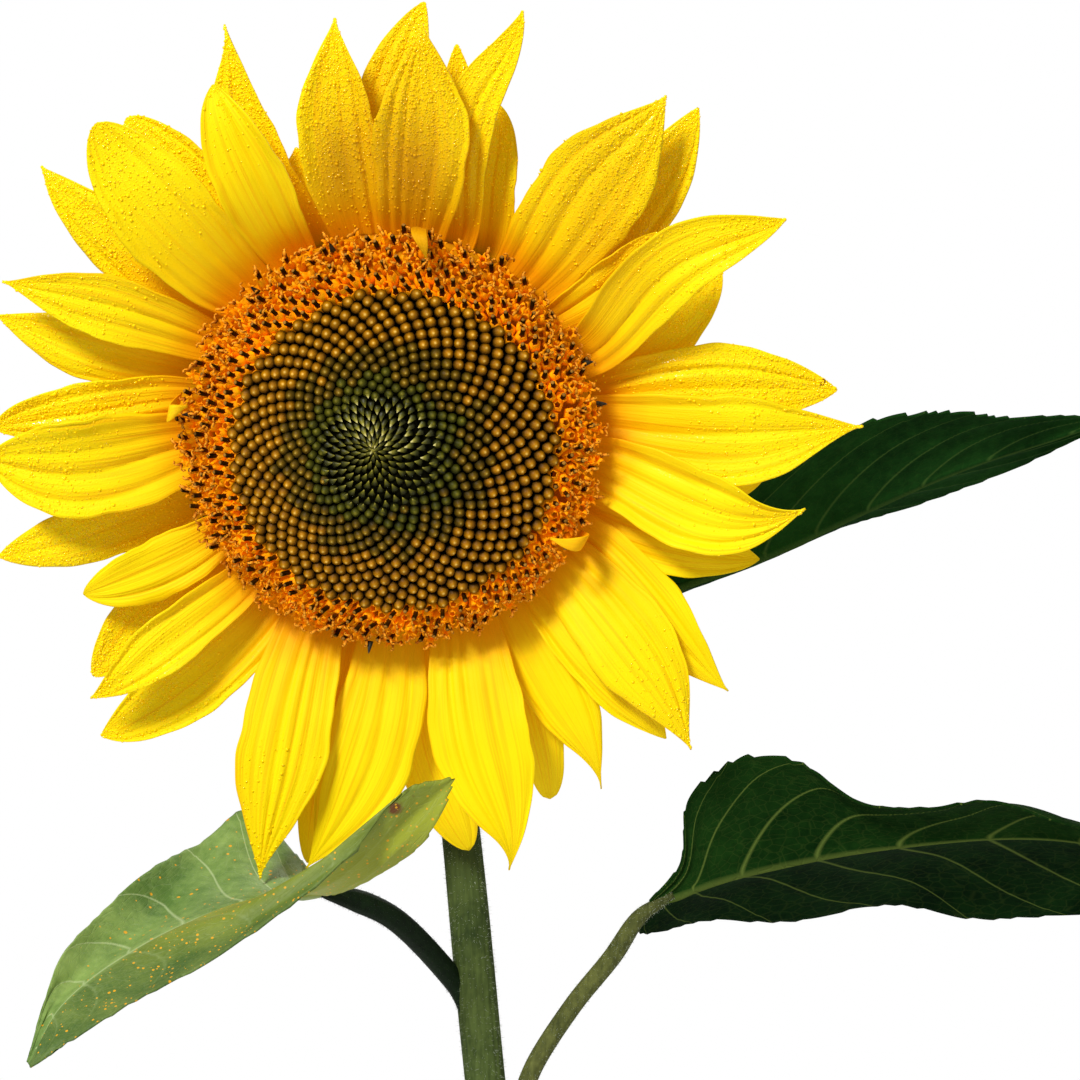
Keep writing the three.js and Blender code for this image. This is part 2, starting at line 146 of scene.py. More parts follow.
def rod(bm, sides, foot, top, rings, depth=1, capped=True):
    """A round bar on Z about the origin, from radius foot to radius top, cut across into rings."""
    made = bmesh.ops.create_cone(
        bm, segments=sides, radius1=foot, radius2=top, depth=depth, cap_ends=capped
    )
    new = set(made["verts"])
    upright = [
        e for e in bm.edges
        if new.issuperset(e.verts) and abs(e.verts[0].co.z - e.verts[1].co.z) > depth / 2
    ]
    bmesh.ops.subdivide_edges(bm, edges=upright, cuts=rings - 1, use_grid_fill=True)


def limb(path, radius, side, sides, steps):
    """A closed round limb: radius(share, angle) gives its surface."""
    bm = bmesh.new()
    rod(bm, sides, 1, 1, steps)

    def place(x, y, z):
        share = z + 0.5
        middle, _, across, over = limb_frame(path, share, side)
        size = radius(share, np.arctan2(y, x))[:, None]
        return middle + size * (across * x[:, None] - over * y[:, None])

    reshape(bm, place)
    face_out(bm)
    return bm


def dress(name, mesh, material, nodes):
    """Puts a mesh that is in metres into the scene as one piece of the plant."""
    mesh.materials.append(material)
    mesh.polygons.foreach_set("use_smooth", np.ones(len(mesh.polygons), bool))
    obj = bpy.data.objects.new(name, mesh)
    bpy.context.scene.collection.objects.link(obj)
    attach(obj, "root")
    if nodes:
        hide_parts(*nodes)
    return obj


def piece(name, bm, material, slot, *nodes, pose=None):
    """Makes a bmesh in millimetres a piece; pose carries it from the head's frame to the plant's."""
    bm.transform(Matrix.Scale(MM, 4) @ (pose or Matrix.Identity(4)))
    mesh = bpy.data.meshes.new(name)
    bm.to_mesh(mesh)
    bm.free()
    return dress(name, mesh, material, nodes)


def standing(spots, axes, widths, lengths, hint=(0, 0, 1)):
    """Placing matrices that stand a pattern on each spot, its own Z along the axis."""
    axes = unit(axes)
    hint = np.broadcast_to(np.asarray(hint, float), axes.shape)
    across = np.cross(hint, axes)
    weak = np.linalg.norm(across, axis=1) < 0.1
    across[weak] = np.cross([1.0, 0.3, 0.2], axes[weak])
    across = unit(across)
    places = np.tile(np.eye(4), (len(axes), 1, 1))
    columns = (across, widths), (np.cross(axes, across), widths), (axes, lengths), (spots, 1)
    for number, (direction, size) in enumerate(columns):
        places[:, :3, number] = direction * np.reshape(size, (-1, 1))
    return places


def mark(mesh, label, values):
    """Writes one number for each vertex, under a label that materials read."""
    mesh.attributes.new(label, "FLOAT", "POINT").data.foreach_set("value", values)


def scatter(name, pattern, places, material, slot, *nodes, pose=None):
    """Joins one copy of a small bmesh for each placing matrix into a single piece."""
    pattern.verts.index_update()
    if pose is not None:
        places = np.array(pose) @ places
    spots = np.array([v.co for v in pattern.verts])
    corners = np.array([v.index for face in pattern.faces for v in face.verts])
    starts = np.cumsum([0] + [len(face.verts) for face in pattern.faces])[:-1]
    pattern.free()
    turned = np.einsum("nij,vj->nvi", places[:, :3, :3], spots)
    turned = (turned + places[:, None, :3, 3]) * MM
    steps = np.arange(len(places))[:, None]
    mesh = bpy.data.meshes.new(name)
    for parts, label, values in (
        (mesh.vertices, "co", turned),
        (mesh.loops, "vertex_index", corners + steps * len(spots)),
        (mesh.polygons, "loop_start", starts + steps * len(corners)),
    ):
        parts.add(len(places) * values.shape[1])
        parts.foreach_set(label, values.ravel())
    mesh.update(calc_edges=True)
    heights = (spots[:, 2] - spots[:, 2].min()) / np.ptp(spots[:, 2])
    mark(mesh, "rise", np.tile(heights, len(places)))
    mark(mesh, "tint", np.repeat(luck.random(len(places)), len(spots)))
    return dress(name, mesh, material, nodes)


def add(tree, kind, inputs=None, **settings):
    """Adds a node: settings are its own values, inputs are what feeds its sockets."""
    made = tree.nodes.new("ShaderNode" + kind)
    for key, value in settings.items():
        setattr(made, key, value)
    for key, value in (inputs or {}).items():
        put(tree, made.inputs[key], value)
    return made


def put(tree, socket, value):
    """Feeds a socket with another socket, a value, or an sRGB colour of three parts from 0 to 255."""
    if isinstance(value, bpy.types.NodeSocket):
        tree.links.new(value, socket)
    elif socket.type == "RGBA" and len(value) == 3:
        socket.default_value = colour(*value)
    else:
        socket.default_value = value


def colour(red, green, blue):
    """An sRGB colour of 0 to 255 as Blender's linear values."""
    tone = [v / 255 for v in (red, green, blue)]
    return (*[v / 12.92 if v < 0.04045 else ((v + 0.055) / 1.055) ** 2.4 for v in tone], 1)


def finish(name, roughness, specular=0.4, **sockets):
    """A new material with its Principled shader: returns the material, its tree and the shader."""
    material = bpy.data.materials.new(name)
    material.use_nodes = True
    tree = material.node_tree
    shader = tree.nodes["Principled BSDF"]
    shader.inputs["Roughness"].default_value = roughness
    shader.inputs["Specular IOR Level"].default_value = specular
    for key, value in sockets.items():
        put(tree, shader.inputs[key.replace("_", " ")], value)
    return material, tree, shader


def blend(tree, share, low, high, kind="MIX"):
    """A colour mix: returns its result."""
    return add(tree, "Mix", {0: share, 6: low, 7: high}, data_type="RGBA", blend_type=kind).outputs[2]


def maths(tree, operation, *terms):
    """A Math node on values or sockets: returns its result."""
    return add(tree, "Math", dict(enumerate(terms)), operation=operation).outputs[0]


def ranged(tree, value, low, high, most=1.0, kind="LINEAR"):
    """Brings a value that runs from low to high to 0 to most, and stops there: returns the result."""
    inputs = {"Value": value, "From Min": low, "From Max": high, "To Max": most}
    return add(tree, "MapRange", inputs, interpolation_type=kind).outputs["Result"]


def noise(tree, vector, scale, detail=2.0, rough=0.5):
    """A noise texture: returns its height."""
    inputs = {"Vector": vector, "Scale": scale, "Detail": detail, "Roughness": rough}
    return add(tree, "TexNoise", inputs).outputs["Fac"]


def attribute(tree, name):
    """A mesh attribute by name."""
    return add(tree, "Attribute", attribute_name=name).outputs["Fac"]


def ramp(tree, share, stops):
    """A ColorRamp through (position, sRGB colour) stops."""
    made = add(tree, "ValToRGB", {"Fac": share})
    band = made.color_ramp
    for position, _ in stops[1:-1]:
        band.elements.new(position)
    for element, (position, tone) in zip(band.elements, stops):
        element.position = position
        element.color = colour(*tone)
    return made.outputs["Color"]


def effect(name, inputs, outputs):
    """An empty node group with named sockets: returns the group, its tree's input and output nodes."""
    group = bpy.data.node_groups.new(name, "ShaderNodeTree")
    for label, kind in inputs:
        group.interface.new_socket(label, in_out="INPUT", socket_type="NodeSocket" + kind)
    for label, kind in outputs:
        group.interface.new_socket(label, in_out="OUTPUT", socket_type="NodeSocket" + kind)
    return group, group.nodes.new("NodeGroupInput"), group.nodes.new("NodeGroupOutput")


def build_mottle():
    """Living tissue is never one green: broad patches with a fine grain on top."""
    group, given, out = effect(
        "mottle",
        [("Vector", "Vector"), ("Scale", "Float"), ("Dark", "Color"), ("Light", "Color")],
        [("Color", "Color"), ("Height", "Float")],
    )
    vector, scale, dark, light = given.outputs[:4]
    broad = noise(group, vector, scale, 3)
    fine = noise(group, vector, maths(group, "MULTIPLY", scale, 9), 4, 0.65)
    both = maths(group, "MULTIPLY_ADD", fine, 0.4, maths(group, "MULTIPLY", broad, 0.6))
    put(group, out.inputs["Color"], blend(group, ranged(group, both, 0.36, 0.64), dark, light))
    put(group, out.inputs["Height"], fine)
    return group


mottle = build_mottle()


def object_place(tree, scale=(1, 1, 1)):
    """Object coordinates, stretched by a Mapping node."""
    coordinates = add(tree, "TexCoord")
    return add(tree, "Mapping", {"Vector": coordinates.outputs["Object"], "Scale": scale}).outputs[0]


def mottled(tree, scale, dark, light):
    """One use of the mottle group: returns its colour and height sockets."""
    inputs = {"Vector": object_place(tree), "Scale": scale, "Dark": dark, "Light": light}
    return add(tree, "Group", inputs, node_tree=mottle).outputs[:2]


def bump(tree, shader, height, strength, distance):
    """Feeds the shader's Normal from a height."""
    made = add(tree, "Bump", {"Height": height, "Strength": strength, "Distance": distance})
    put(tree, shader.inputs["Normal"], made.outputs[0])


def stem_skin(name, dark, light, darkened=0.5, neck=()):
    """Rough green skin in long thin streaks, darker under the head as painted shade, and in other greens at
    the neck.
    """
    material, tree, shader = finish(name, 0.7, 0.12)
    grain = noise(tree, object_place(tree, (1, 1, 0.12)), 1500, 3)
    tint = mottled(tree, STEM_PATCHES, dark, light)[0]
    tint = blend(tree, ranged(tree, grain, 0.35, 0.7, 0.35), tint, light, "SCREEN")
    height = add(tree, "SeparateXYZ", {"Vector": object_place(tree)}).outputs["Z"]
    # Painted shade: the skin darkens from SHADE_FOOT up to SHADE_TOP, where the head shades it.
    tint = blend(tree, ranged(tree, height, SHADE_FOOT * MM, SHADE_TOP * MM, darkened), tint, dark)
    if neck:
        fresh = mottled(tree, STEM_PATCHES, *neck)[0]
        tint = blend(tree, ranged(tree, height, NECK_FOOT * MM, NECK_TOP * MM), tint, fresh)
    put(tree, shader.inputs["Base Color"], tint)
    bump(tree, shader, grain, 0.5, 0.0002)
    return material


def hair_skin(name, tone):
    """Plant hair of a slightly uneven colour."""
    material, tree, shader = finish(name, 0.5, 0.5)
    dim = (*[v * 0.8 for v in tone[:3]], 1)
    put(tree, shader.inputs["Base Color"], mottled(tree, 400, dim, tone)[0])
    return material


def hair_pattern():
    """One hair, one millimetre long and wide: a three-sided spike."""
    bm = bmesh.new()
    bmesh.ops.create_cone(bm, segments=3, radius1=0.5, radius2=0, depth=1, cap_ends=True)
    bmesh.ops.translate(bm, vec=(0, 0, 0.5), verts=bm.verts)
    return bm


def limb_hairs(path, radius, side, count, length, shares=(0.0, 1.0)):
    """Places for hairs all over a limb, leaning along it a little."""
    share = luck.uniform(*shares, count)
    angle = luck.uniform(-math.pi, math.pi, count)
    middle, forward, across, over = limb_frame(path, share, side)
    out = across * np.cos(angle)[:, None] - over * np.sin(angle)[:, None]
    spots = middle + out * (radius(share, angle)[:, None] - HAIR_ROOT_DEPTH)
    lean = out + forward * luck.normal(0, 0.35, (count, 1)) + luck.normal(0, 0.2, (count, 3))
    return standing(spots, lean, luck.uniform(*HAIR_WIDTHS, count), luck.uniform(0.4, 1, count) * length)


neck = HEAD_CENTRE + FACING * (RECEPTACLE_BACK - GAP)
stem_path = along([*STEM_PATH, neck - FACING * STEM_NECK_LENGTH, neck])
STEM_SIDE = np.array([1.0, 0, 0])


def stem_radius(share, angle):
    """The stem's taper, foot flare and neck swell, with its fine ribs."""
    flare = np.maximum(0, 1 - share / STEM_FLARE_SHARE) ** 2
    swell = np.maximum(0, (share - STEM_SWELL_START) / (1 - STEM_SWELL_START)) ** 2
    taper = np.minimum(1, share / STEM_TAPER_END)
    plain = STEM_LOW_RADIUS + (STEM_HIGH_RADIUS - STEM_LOW_RADIUS) * taper
    ribs = STEM_RIB_HEIGHT * np.cos(STEM_RIBS * angle + 2.5 * np.sin(9 * share))
    knots = STEM_KNOTS * np.sin(angle + 31 * share) * np.sin(3 * angle - 17 * share)
    return (
        plain + (STEM_FOOT_RADIUS - STEM_LOW_RADIUS) * flare
        + (NECK_RADIUS - STEM_HIGH_RADIUS) * swell + ribs + knots
    )


stem_green = stem_skin("stem_green", (34, 48, 18), (76, 90, 42), 0.8, HEAD_GREENS)
stem_hair = hair_skin("stem_hair", colour(196, 206, 180))
shade_hair = hair_skin("shade_hair", colour(22, 32, 14))
stem_mesh = limb(stem_path, stem_radius, STEM_SIDE, STEM_SIDES, STEM_STEPS)
piece("stem_skin", stem_mesh, stem_green, "stem", "stem")
stem_fuzz = limb_hairs(
    stem_path, stem_radius, STEM_SIDE, STEM_HAIR_COUNT, STEM_HAIR_LENGTH, (0.02, 0.97)
)
scatter("stem_hairs", hair_pattern(), stem_fuzz, stem_hair, "stem")

# Leaf stalks
# Each leaf hangs on a round stalk that swells into a collar where it leaves the stem and slims into
# the leaf. The left one is painted nearly black for the shade it stands in, the right one is olive, the
# back one green.
STALK_RADII = {"left": 2.3, "right": 1.9, "back": 1.7}
STALK_END_RADIUS = 0.7
STALK_COLLAR_SHARE = 0.22
STALK_COLLAR_GAIN = 1.65
STALK_SLIM_SHARE = 0.7
STALK_SIDES = 40
STALK_STEPS = 70
STALK_HAIR_COUNT = 1500
STALK_HAIR_LENGTH = 0.7
STALK_SIDE = np.array([0, 0.6, 0.8])
STALK_PATHS = {
    "left": [
        (-9.4, 0, 98), (-14.4, -0.6, 104.8), (-26, -18, 119.6), (-33.3, -24.4, 124), (-40, -29.6, 126.2),
    ],
    "right": [
        (-5.4, 0, 68), (-1.5, 0.3, 76), (0.9, 0.6, 85.4), (9.3, 1.5, 98.9), (17.7, -0.5, 109.7),
        (23.4, -3.3, 118.4), (30, -6, 122.9),
    ],
    "back": [(-14.6, 0, 145), (-9.2, 2, 152), (2, 7, 163), (14, 9, 174.5), (27, 8, 184.2)],
}
STALK_SKINS = {
    # The left stalk's near-black greens are painted shade.
    "left": stem_skin("stalk_painted_shade_green", (2, 12, 1), (14, 32, 8)),
    "right": stem_skin("stalk_olive", (48, 54, 22), (94, 98, 48)),
    "back": stem_skin("stalk_green", (34, 54, 26), (84, 104, 54)),
}


def stalk_form(size):
    """A stalk's radius: a collar at the stem, slimmer at the leaf, with a shallow channel on top."""

    def radius(share, angle):
        collar = (STALK_COLLAR_GAIN - 1) * size * np.maximum(0, 1 - share / STALK_COLLAR_SHARE) ** 1.3
        slim = np.maximum(0, (share - STALK_SLIM_SHARE) / (1 - STALK_SLIM_SHARE)) ** 1.5
        ribs = 0.05 * np.cos(9 * angle) - 0.1 * np.exp(-((angle - 0.4) ** 2) * 8)
        return size + collar - (size - STALK_END_RADIUS) * slim + ribs

    return radius


for side_name, points in STALK_PATHS.items():
    stalk_path = along(points)
    stalk_radius = stalk_form(STALK_RADII[side_name])
    node = side_name + "_petiole"
    stalk_mesh = limb(stalk_path, stalk_radius, STALK_SIDE, STALK_SIDES, STALK_STEPS)
    piece(side_name + "_stalk_skin", stalk_mesh, STALK_SKINS[side_name], "petiole", node)
    fuzz = limb_hairs(stalk_path, stalk_radius, STALK_SIDE, STALK_HAIR_COUNT, STALK_HAIR_LENGTH)
    hair = shade_hair if side_name == "left" else stem_hair
    scatter(side_name + "_stalk_hairs", hair_pattern(), fuzz, hair, "petiole")

# Leaves
# Three broad pointed blades, folded along the midrib, toothed at the edge and quilted between their
# side veins. The left one shows its pollen-dusted upper side, the other two their shaded underside.
LEAF_THICKNESS = 0.5
LEAF_COLUMNS = 72
LEAF_ROWS = 130
VEIN_COUNT = 7.5
VEIN_SLANT = 0.32
VEIN_BEND = 1.3
VEIN_WIDTH = 0.055
NET_SHARE = 0.11
QUILT_HEIGHT = 0.55
MIDRIB_DEPTH = 0.7
MIDRIB_WIDTH = 0.035
TOOTH_COUNT = 24
TOOTH_LENGTH = 1.1
# Bulge lifts each half between the midrib and the edge, as a share of its width. The first edge is the
# one on the right of the midrib's way, seen from above.
LEAF_FORMS = {
    "left": {
        "bulge": -0.09,
        "midrib": [
            (-37.9, -28.2, 126), (-52.8, -39, 126), (-72.2, -52, 118.8), (-85, -64, 109.3), (-89.4, -72, 100),
        ],
        "edges": [
            [(-37.4, -27, 126.8), (-43.5, -16, 129.8), (-50, -7, 136), (-57, -4, 139.5), (-66, -13, 134.2),
             (-78, -34, 126), (-86, -53, 117.6), (-89.6, -71.6, 100.6)],
            [(-37, -29.2, 126), (-26.3, -40, 132.2), (-15.9, -48, 142), (-13.4, -49, 149.4), (-20, -51, 150),
             (-33, -52, 134.4), (-53.5, -60, 120.4), (-70.8, -68, 110.8), (-82, -72, 104),
             (-89.2, -72.4, 99.4)],
        ],
    },
    "right": {
        "bulge": 0.06,
        "midrib": [(25.4, -4.2, 121), (42, -8, 127), (70.4, -12, 133.2), (104, -14, 135.5), (139, -15, 129)],
        "edges": [
            [(25, -4.8, 121.8), (31, -9, 129.6), (32.6, -14, 143.6), (41.3, -17.6, 151), (54, -20.4, 150.9),
             (66, -22, 143.4), (80, -24, 142), (91, -26, 144), (109, -24, 138), (139, -15.3, 129.8)],
            [(25.8, -3.6, 120.2), (22.5, 2, 115.4), (28.5, 8, 113.9), (40, 14, 116), (59, 18, 115.2),
             (79, 18, 118.2), (97, 14, 116), (115, 6, 117.5), (139, -14.7, 128.2)],
        ],
    },
    "back": {
        "bulge": 0.05,
        "midrib": [(23.7, 8, 182.4), (48, 7, 190.9), (67.2, 6, 199.7), (88.9, 5, 209.2), (120.5, 5, 219.6)],
        "edges": [
            [(23.4, 7.6, 183.2), (25, 4, 192), (47.6, -4, 207), (72, -9, 219.8), (87, -8, 220.3),
             (99, -4, 219.9), (120.4, 4.7, 220.2)],
            [(24.4, 8.5, 181.8), (24.5, 14, 179.4), (35, 20, 184.5), (60.7, 26, 194.8), (77.5, 24, 201),
             (98, 17, 207.8), (120.6, 5.3, 219)],
        ],
    },
}


def build_veins():
    """Where a leaf's midrib, side veins and small net of veins run, from its UV map."""
    group, given, out = effect(
        "leaf_veins", [("UV", "Vector"), ("Width", "Float")], [("Main", "Float"), ("Net", "Float")]
    )
    uv, width = given.outputs[:2]
    across, share, _ = add(group, "SeparateXYZ", {"Vector": uv}).outputs
    side = maths(group, "ABSOLUTE", maths(group, "MULTIPLY_ADD", across, 2, -1))
    bent = maths(group, "MULTIPLY", maths(group, "POWER", side, VEIN_BEND), VEIN_SLANT)
    count = maths(group, "MULTIPLY", maths(group, "SUBTRACT", share, bent), VEIN_COUNT)
    nearest = maths(group, "FRACT", maths(group, "ADD", count, 0.5))
    off = maths(group, "ABSOLUTE", maths(group, "SUBTRACT", nearest, 0.5))
    fading = maths(group, "MULTIPLY", width, maths(group, "MULTIPLY_ADD", side, -0.75, 1))
    lateral = ranged(group, off, fading, 0)
    rib = ranged(group, side, maths(group, "MULTIPLY_ADD", share, -0.024, 0.034), 0.004)
    stretched = add(group, "Mapping", {"Vector": uv, "Scale": (1, 1.4, 1)}).outputs[0]
    cells = add(group, "TexVoronoi", {"Vector": stretched, "Scale": 34}, feature="DISTANCE_TO_EDGE")
    put(group, out.inputs["Main"], maths(group, "MAXIMUM", lateral, rib))
    put(group, out.inputs["Net"], ranged(group, cells.outputs["Distance"], 0.07, 0))
    return group


leaf_veins = build_veins()


def build_specks():
    """Small round specks of many sizes, thrown about unevenly."""
    group, given, out = effect(
        "specks", [("Vector", "Vector"), ("Scale", "Float"), ("Amount", "Float")], [("Share", "Float")]
    )
    vector, scale, amount = given.outputs[:3]
    dots = add(group, "TexVoronoi", {"Vector": vector, "Scale": scale})
    first, second, _ = add(group, "SeparateColor", {"Color": dots.outputs["Color"]}).outputs
    size = maths(group, "MULTIPLY_ADD", maths(group, "POWER", first, 2), 0.24, 0.08)
    inside = maths(group, "LESS_THAN", dots.outputs["Distance"], size)
    kept = maths(group, "LESS_THAN", second, amount)
    put(group, out.inputs["Share"], maths(group, "MULTIPLY", inside, kept))
    return group


specks = build_specks()


def speckled(tree, scale, amount):
    """One use of the specks group over object coordinates: returns its share socket."""
    inputs = {"Vector": object_place(tree), "Scale": scale, "Amount": amount}
    return add(tree, "Group", inputs, node_tree=specks).outputs["Share"]


def far_from(tree, place, scale=(1, 1, 1)):
    """How far the surface is from a place of the plant in millimetres, both stretched by scale."""
    ends = {0: object_place(tree, scale), 1: tuple(v * MM * stretch for v, stretch in zip(place, scale))}
    return add(tree, "VectorMath", ends, operation="DISTANCE").outputs["Value"]


def blot(tree, place, size, scale=(1, 1, 1)):
    """A ragged spot round a place of the plant in millimetres: returns how much of it is there."""
    grain = noise(tree, object_place(tree), 700)
    away = far_from(tree, place, scale)
    ragged = maths(tree, "MULTIPLY_ADD", grain, size * MM, away)
    return ranged(tree, ragged, size * 1.5 * MM, size * 1.1 * MM)


def leaf_skin(name, dark, light, vein, vein_share, roughness, specular, turned_half=None, blots=()):
    """Matt leaf tissue with paler veins; a turned half gets darker greens as painted shade. Blots bring brown
    spots, an olive patch of painted light on the turned half near the stalk, and pollen with them.
    """
    material, tree, shader = finish(name, roughness, specular)
    tint, grain = mottled(tree, 45, dark, light)
    uv = add(tree, "UVMap", uv_map="UVMap").outputs[0]
    main, net = add(tree, "Group", {"UV": uv, "Width": VEIN_WIDTH}, node_tree=leaf_veins).outputs
    lines = maths(tree, "MULTIPLY", main, vein_share)
    # Painted shade: the half of the blade that turns from the light takes darker greens.
    if turned_half:
        across, share, _ = add(tree, "SeparateXYZ", {"Vector": uv}).outputs
        half = ranged(tree, across, 0.49, 0.53)
        tint = blend(tree, half, tint, mottled(tree, 130, *turned_half)[0])
    if blots:
        lines = maths(tree, "MULTIPLY", lines, maths(tree, "MULTIPLY_ADD", half, -0.85, 1))
        # Painted light: the olive lifts the self-shaded lobe of the turned half, towards the stalk.
        olive = maths(tree, "MULTIPLY", ranged(tree, share, 0.62, 0.3, 0.85), half)
        tint = blend(tree, olive, tint, (150, 156, 40))
        for spot, size in blots:
            tint = blend(tree, blot(tree, spot, size), tint, (104, 60, 20))
        thin = blend(tree, speckled(tree, 800, 0.3), tint, (220, 156, 24))
        thick = blend(tree, speckled(tree, 1050, 0.9), tint, (214, 156, 24))
        tint = blend(tree, half, thin, thick)
    tint = blend(tree, maths(tree, "MULTIPLY", net, vein_share * NET_SHARE), tint, vein)
    put(tree, shader.inputs["Base Color"], blend(tree, lines, tint, vein))
    bump(tree, shader, maths(tree, "MULTIPLY_ADD", net, -0.6, grain), 0.35, 0.0003)
    return material


def leaf_surface(form):
    """The blade's middle surface: surface(across, share) for across -1 to 1 and share 0 to 1."""
    midrib = along(form["midrib"])
    near, far = (along(points) for points in form["edges"])

    def flat(across, share):
        middle = midrib(share)
        edge = np.where((across < 0)[:, None], near(share), far(share))
        reach = np.abs(across)
        span = np.linalg.norm(edge - middle, axis=1)
        saw = (share * TOOTH_COUNT + 0.35 * np.sin(share * 41)) % 1
        teeth = TOOTH_LENGTH * (saw - 0.7) * reach**12 * np.sin(np.pi * np.clip(share, 0.02, 0.98)) ** 0.5
        stretch = reach * (1 + teeth / np.maximum(span, 4))
        lift = form["bulge"] * span * np.sin(np.pi * reach)
        wave = 0.02 * span * reach**3 * np.sin(share * 23 + np.sign(across) * 1.3)
        place = middle + (edge - middle) * stretch[:, None]
        place[:, 2] += lift + wave
        return place

    def surface(across, share):
        reach = np.abs(across)
        count = (share - VEIN_SLANT * reach**VEIN_BEND) * VEIN_COUNT
        quilt = np.abs(np.sin(np.pi * count)) ** 0.6 * np.sin(np.pi * reach) ** 0.7
        groove = -MIDRIB_DEPTH * np.exp(-((across / MIDRIB_WIDTH) ** 2)) * (1 - 0.7 * share)
        fade = np.clip(np.minimum(share, 1 - share) * 12, 0, 1)
        step = 1e-3
        forward = flat(across, np.minimum(share + step, 1)) - flat(across, np.maximum(share - step, 0))
        sideways = flat(np.minimum(across + step, 1), share) - flat(np.maximum(across - step, -1), share)
        up = unit(np.cross(forward, sideways))
        return flat(across, share) + up * ((QUILT_HEIGHT * quilt + groove) * fade)[:, None]

    return surface


def blade(surface, columns, rows, thickness):
    """A sheet over a surface function, with a UV map and a real thickness."""
    bm = bmesh.new()
    bm.loops.layers.uv.new("UVMap")
    bmesh.ops.create_grid(bm, x_segments=columns, y_segments=rows, size=1, calc_uvs=True)
    reshape(bm, lambda x, y, z: surface(x, (y + 1) / 2))
    bmesh.ops.reverse_faces(bm, faces=bm.faces)
    bmesh.ops.solidify(bm, geom=bm.faces[:], thickness=thickness)
    face_out(bm)
    return bm


# Painted shade: the undersides' near-black greens and the darker greens of each given turned half. Painted
# light: the left leaf's olive lobe.
LEAF_SKINS = {
    "left": leaf_skin(
        "leaf_upper_side", (80, 112, 44), (134, 160, 82), (176, 192, 138), 0.7, 0.55, 0.25,
        ((66, 94, 36), (102, 122, 54)),
        [((-24, -51, 144), 1.7), ((-27, -51, 141), 1.0), ((-21, -50, 147), 0.8)],
    ),
    "right": leaf_skin(
        "leaf_underside", (3, 27, 3), (20, 50, 11), (88, 104, 44), 0.8, 0.9, 0.04,
        ((1, 20, 3), (10, 38, 8)),
    ),
    "back": leaf_skin("leaf_underside_dark", (8, 38, 8), (26, 66, 20), (74, 100, 44), 0.6, 0.9, 0.05),
}
for side_name, form in LEAF_FORMS.items():
    leaf_mesh = blade(leaf_surface(form), LEAF_COLUMNS, LEAF_ROWS, LEAF_THICKNESS)
    piece(side_name + "_leaf_blade", leaf_mesh, LEAF_SKINS[side_name], "leaf_blade", side_name + "_leaf")

# Back of the head
# The fleshy green receptacle carries every floret. Two rings of pointed bracts clasp it behind the rays.
TURNED_STEPS = 96
RECEPTACLE_RADIUS = 37.7
RECEPTACLE_TOP = 2
BRACT_COUNT = 18
BRACT_WIDTH = 10
BRACT_THICKNESS = 0.5
BRACT_COLUMNS = 10
BRACT_ROWS = 18
BRACT_ROOT_DEPTH = 1
# A row is: node, height of the feet, reach, height of the tips, turn of the ring in bracts.
BRACT_RINGS = [("bracts_outer", -9.3, 55, -14, 0), ("bracts_inner", -7.6, 51, -8.4, 0.5)]
HEAD_POSE = Matrix.Translation(Vector(HEAD_CENTRE)) @ Matrix.Rotation(math.pi / 2 + HEAD_NOD, 4, "X")

bract_green = leaf_skin("bract_green", (48, 82, 30), (92, 128, 58), (120, 150, 84), 0.5, 0.6, 0.25)


def turned(profile, steps):
    """A closed form spun about the head's axis from (radius, height) points."""
    bm = bmesh.new()
    corners = [bm.verts.new((radius, 0, height)) for radius, height in profile]
    edges = [bm.edges.new(pair) for pair in zip(corners, corners[1:])]
    bmesh.ops.spin(
        bm, geom=corners + edges, cent=(0, 0, 0), axis=(0, 0, 1), angle=2 * math.pi, steps=steps,
        use_merge=True, use_duplicate=False,
    )
    bmesh.ops.remove_doubles(bm, verts=bm.verts, dist=1e-3)
    face_out(bm)
    return bm


receptacle_back = [
    (0, -24.8), (3.3, -24.8), (4.5, -23), (5.7, -21.4), (7.6, -20.1), (10.6, -19.1), (16, -17.6), (23, -15.8),
    (29, -13.9), (34, -12), (RECEPTACLE_RADIUS - 0.8, -10.6), (RECEPTACLE_RADIUS, -9),
    (RECEPTACLE_RADIUS, RECEPTACLE_TOP - 0.5), (RECEPTACLE_RADIUS - 0.5, RECEPTACLE_TOP), (0, RECEPTACLE_TOP),
]
receptacle_green = stem_skin("receptacle_green", *HEAD_GREENS, 0)
receptacle_flesh = turned(receptacle_back, TURNED_STEPS)
piece("receptacle_flesh", receptacle_flesh, receptacle_green, "receptacle", "receptacle", pose=HEAD_POSE)


def outward(angle):
    """The directions away from the head's axis and round it, at an angle."""
    out = np.array([math.cos(angle), math.sin(angle), 0])
    return out, np.array([-out[1], out[0], 0])


def arc(start, pull, end, share):
    """A quadratic curve from start to end that is drawn towards pull."""
    return start * (1 - share) ** 2 + pull * 2 * share * (1 - share) + end * share**2


def bract_surface(angle, height, reach, tip_height, lean):
    """One pointed bract that leaves the receptacle's side and curls back at its tip."""
    out, across_way = outward(angle)
    root = RECEPTACLE_RADIUS - BRACT_ROOT_DEPTH

    def surface(across, share):
        outline = (1 - share**2.2) * (0.82 + 0.5 * share) + 0.015
        radius = arc(root, (root + reach) / 2, reach, share)
        level = arc(height, height, tip_height, share)
        level += 0.9 * np.abs(across) * (1 - share) + 0.5 * np.sin(3 * share + lean) * share
        side = across * BRACT_WIDTH * outline / 2 + lean * share**2
        place = out * radius[:, None] + across_way * side[:, None]
        place[:, 2] += level
        return place

    return surface


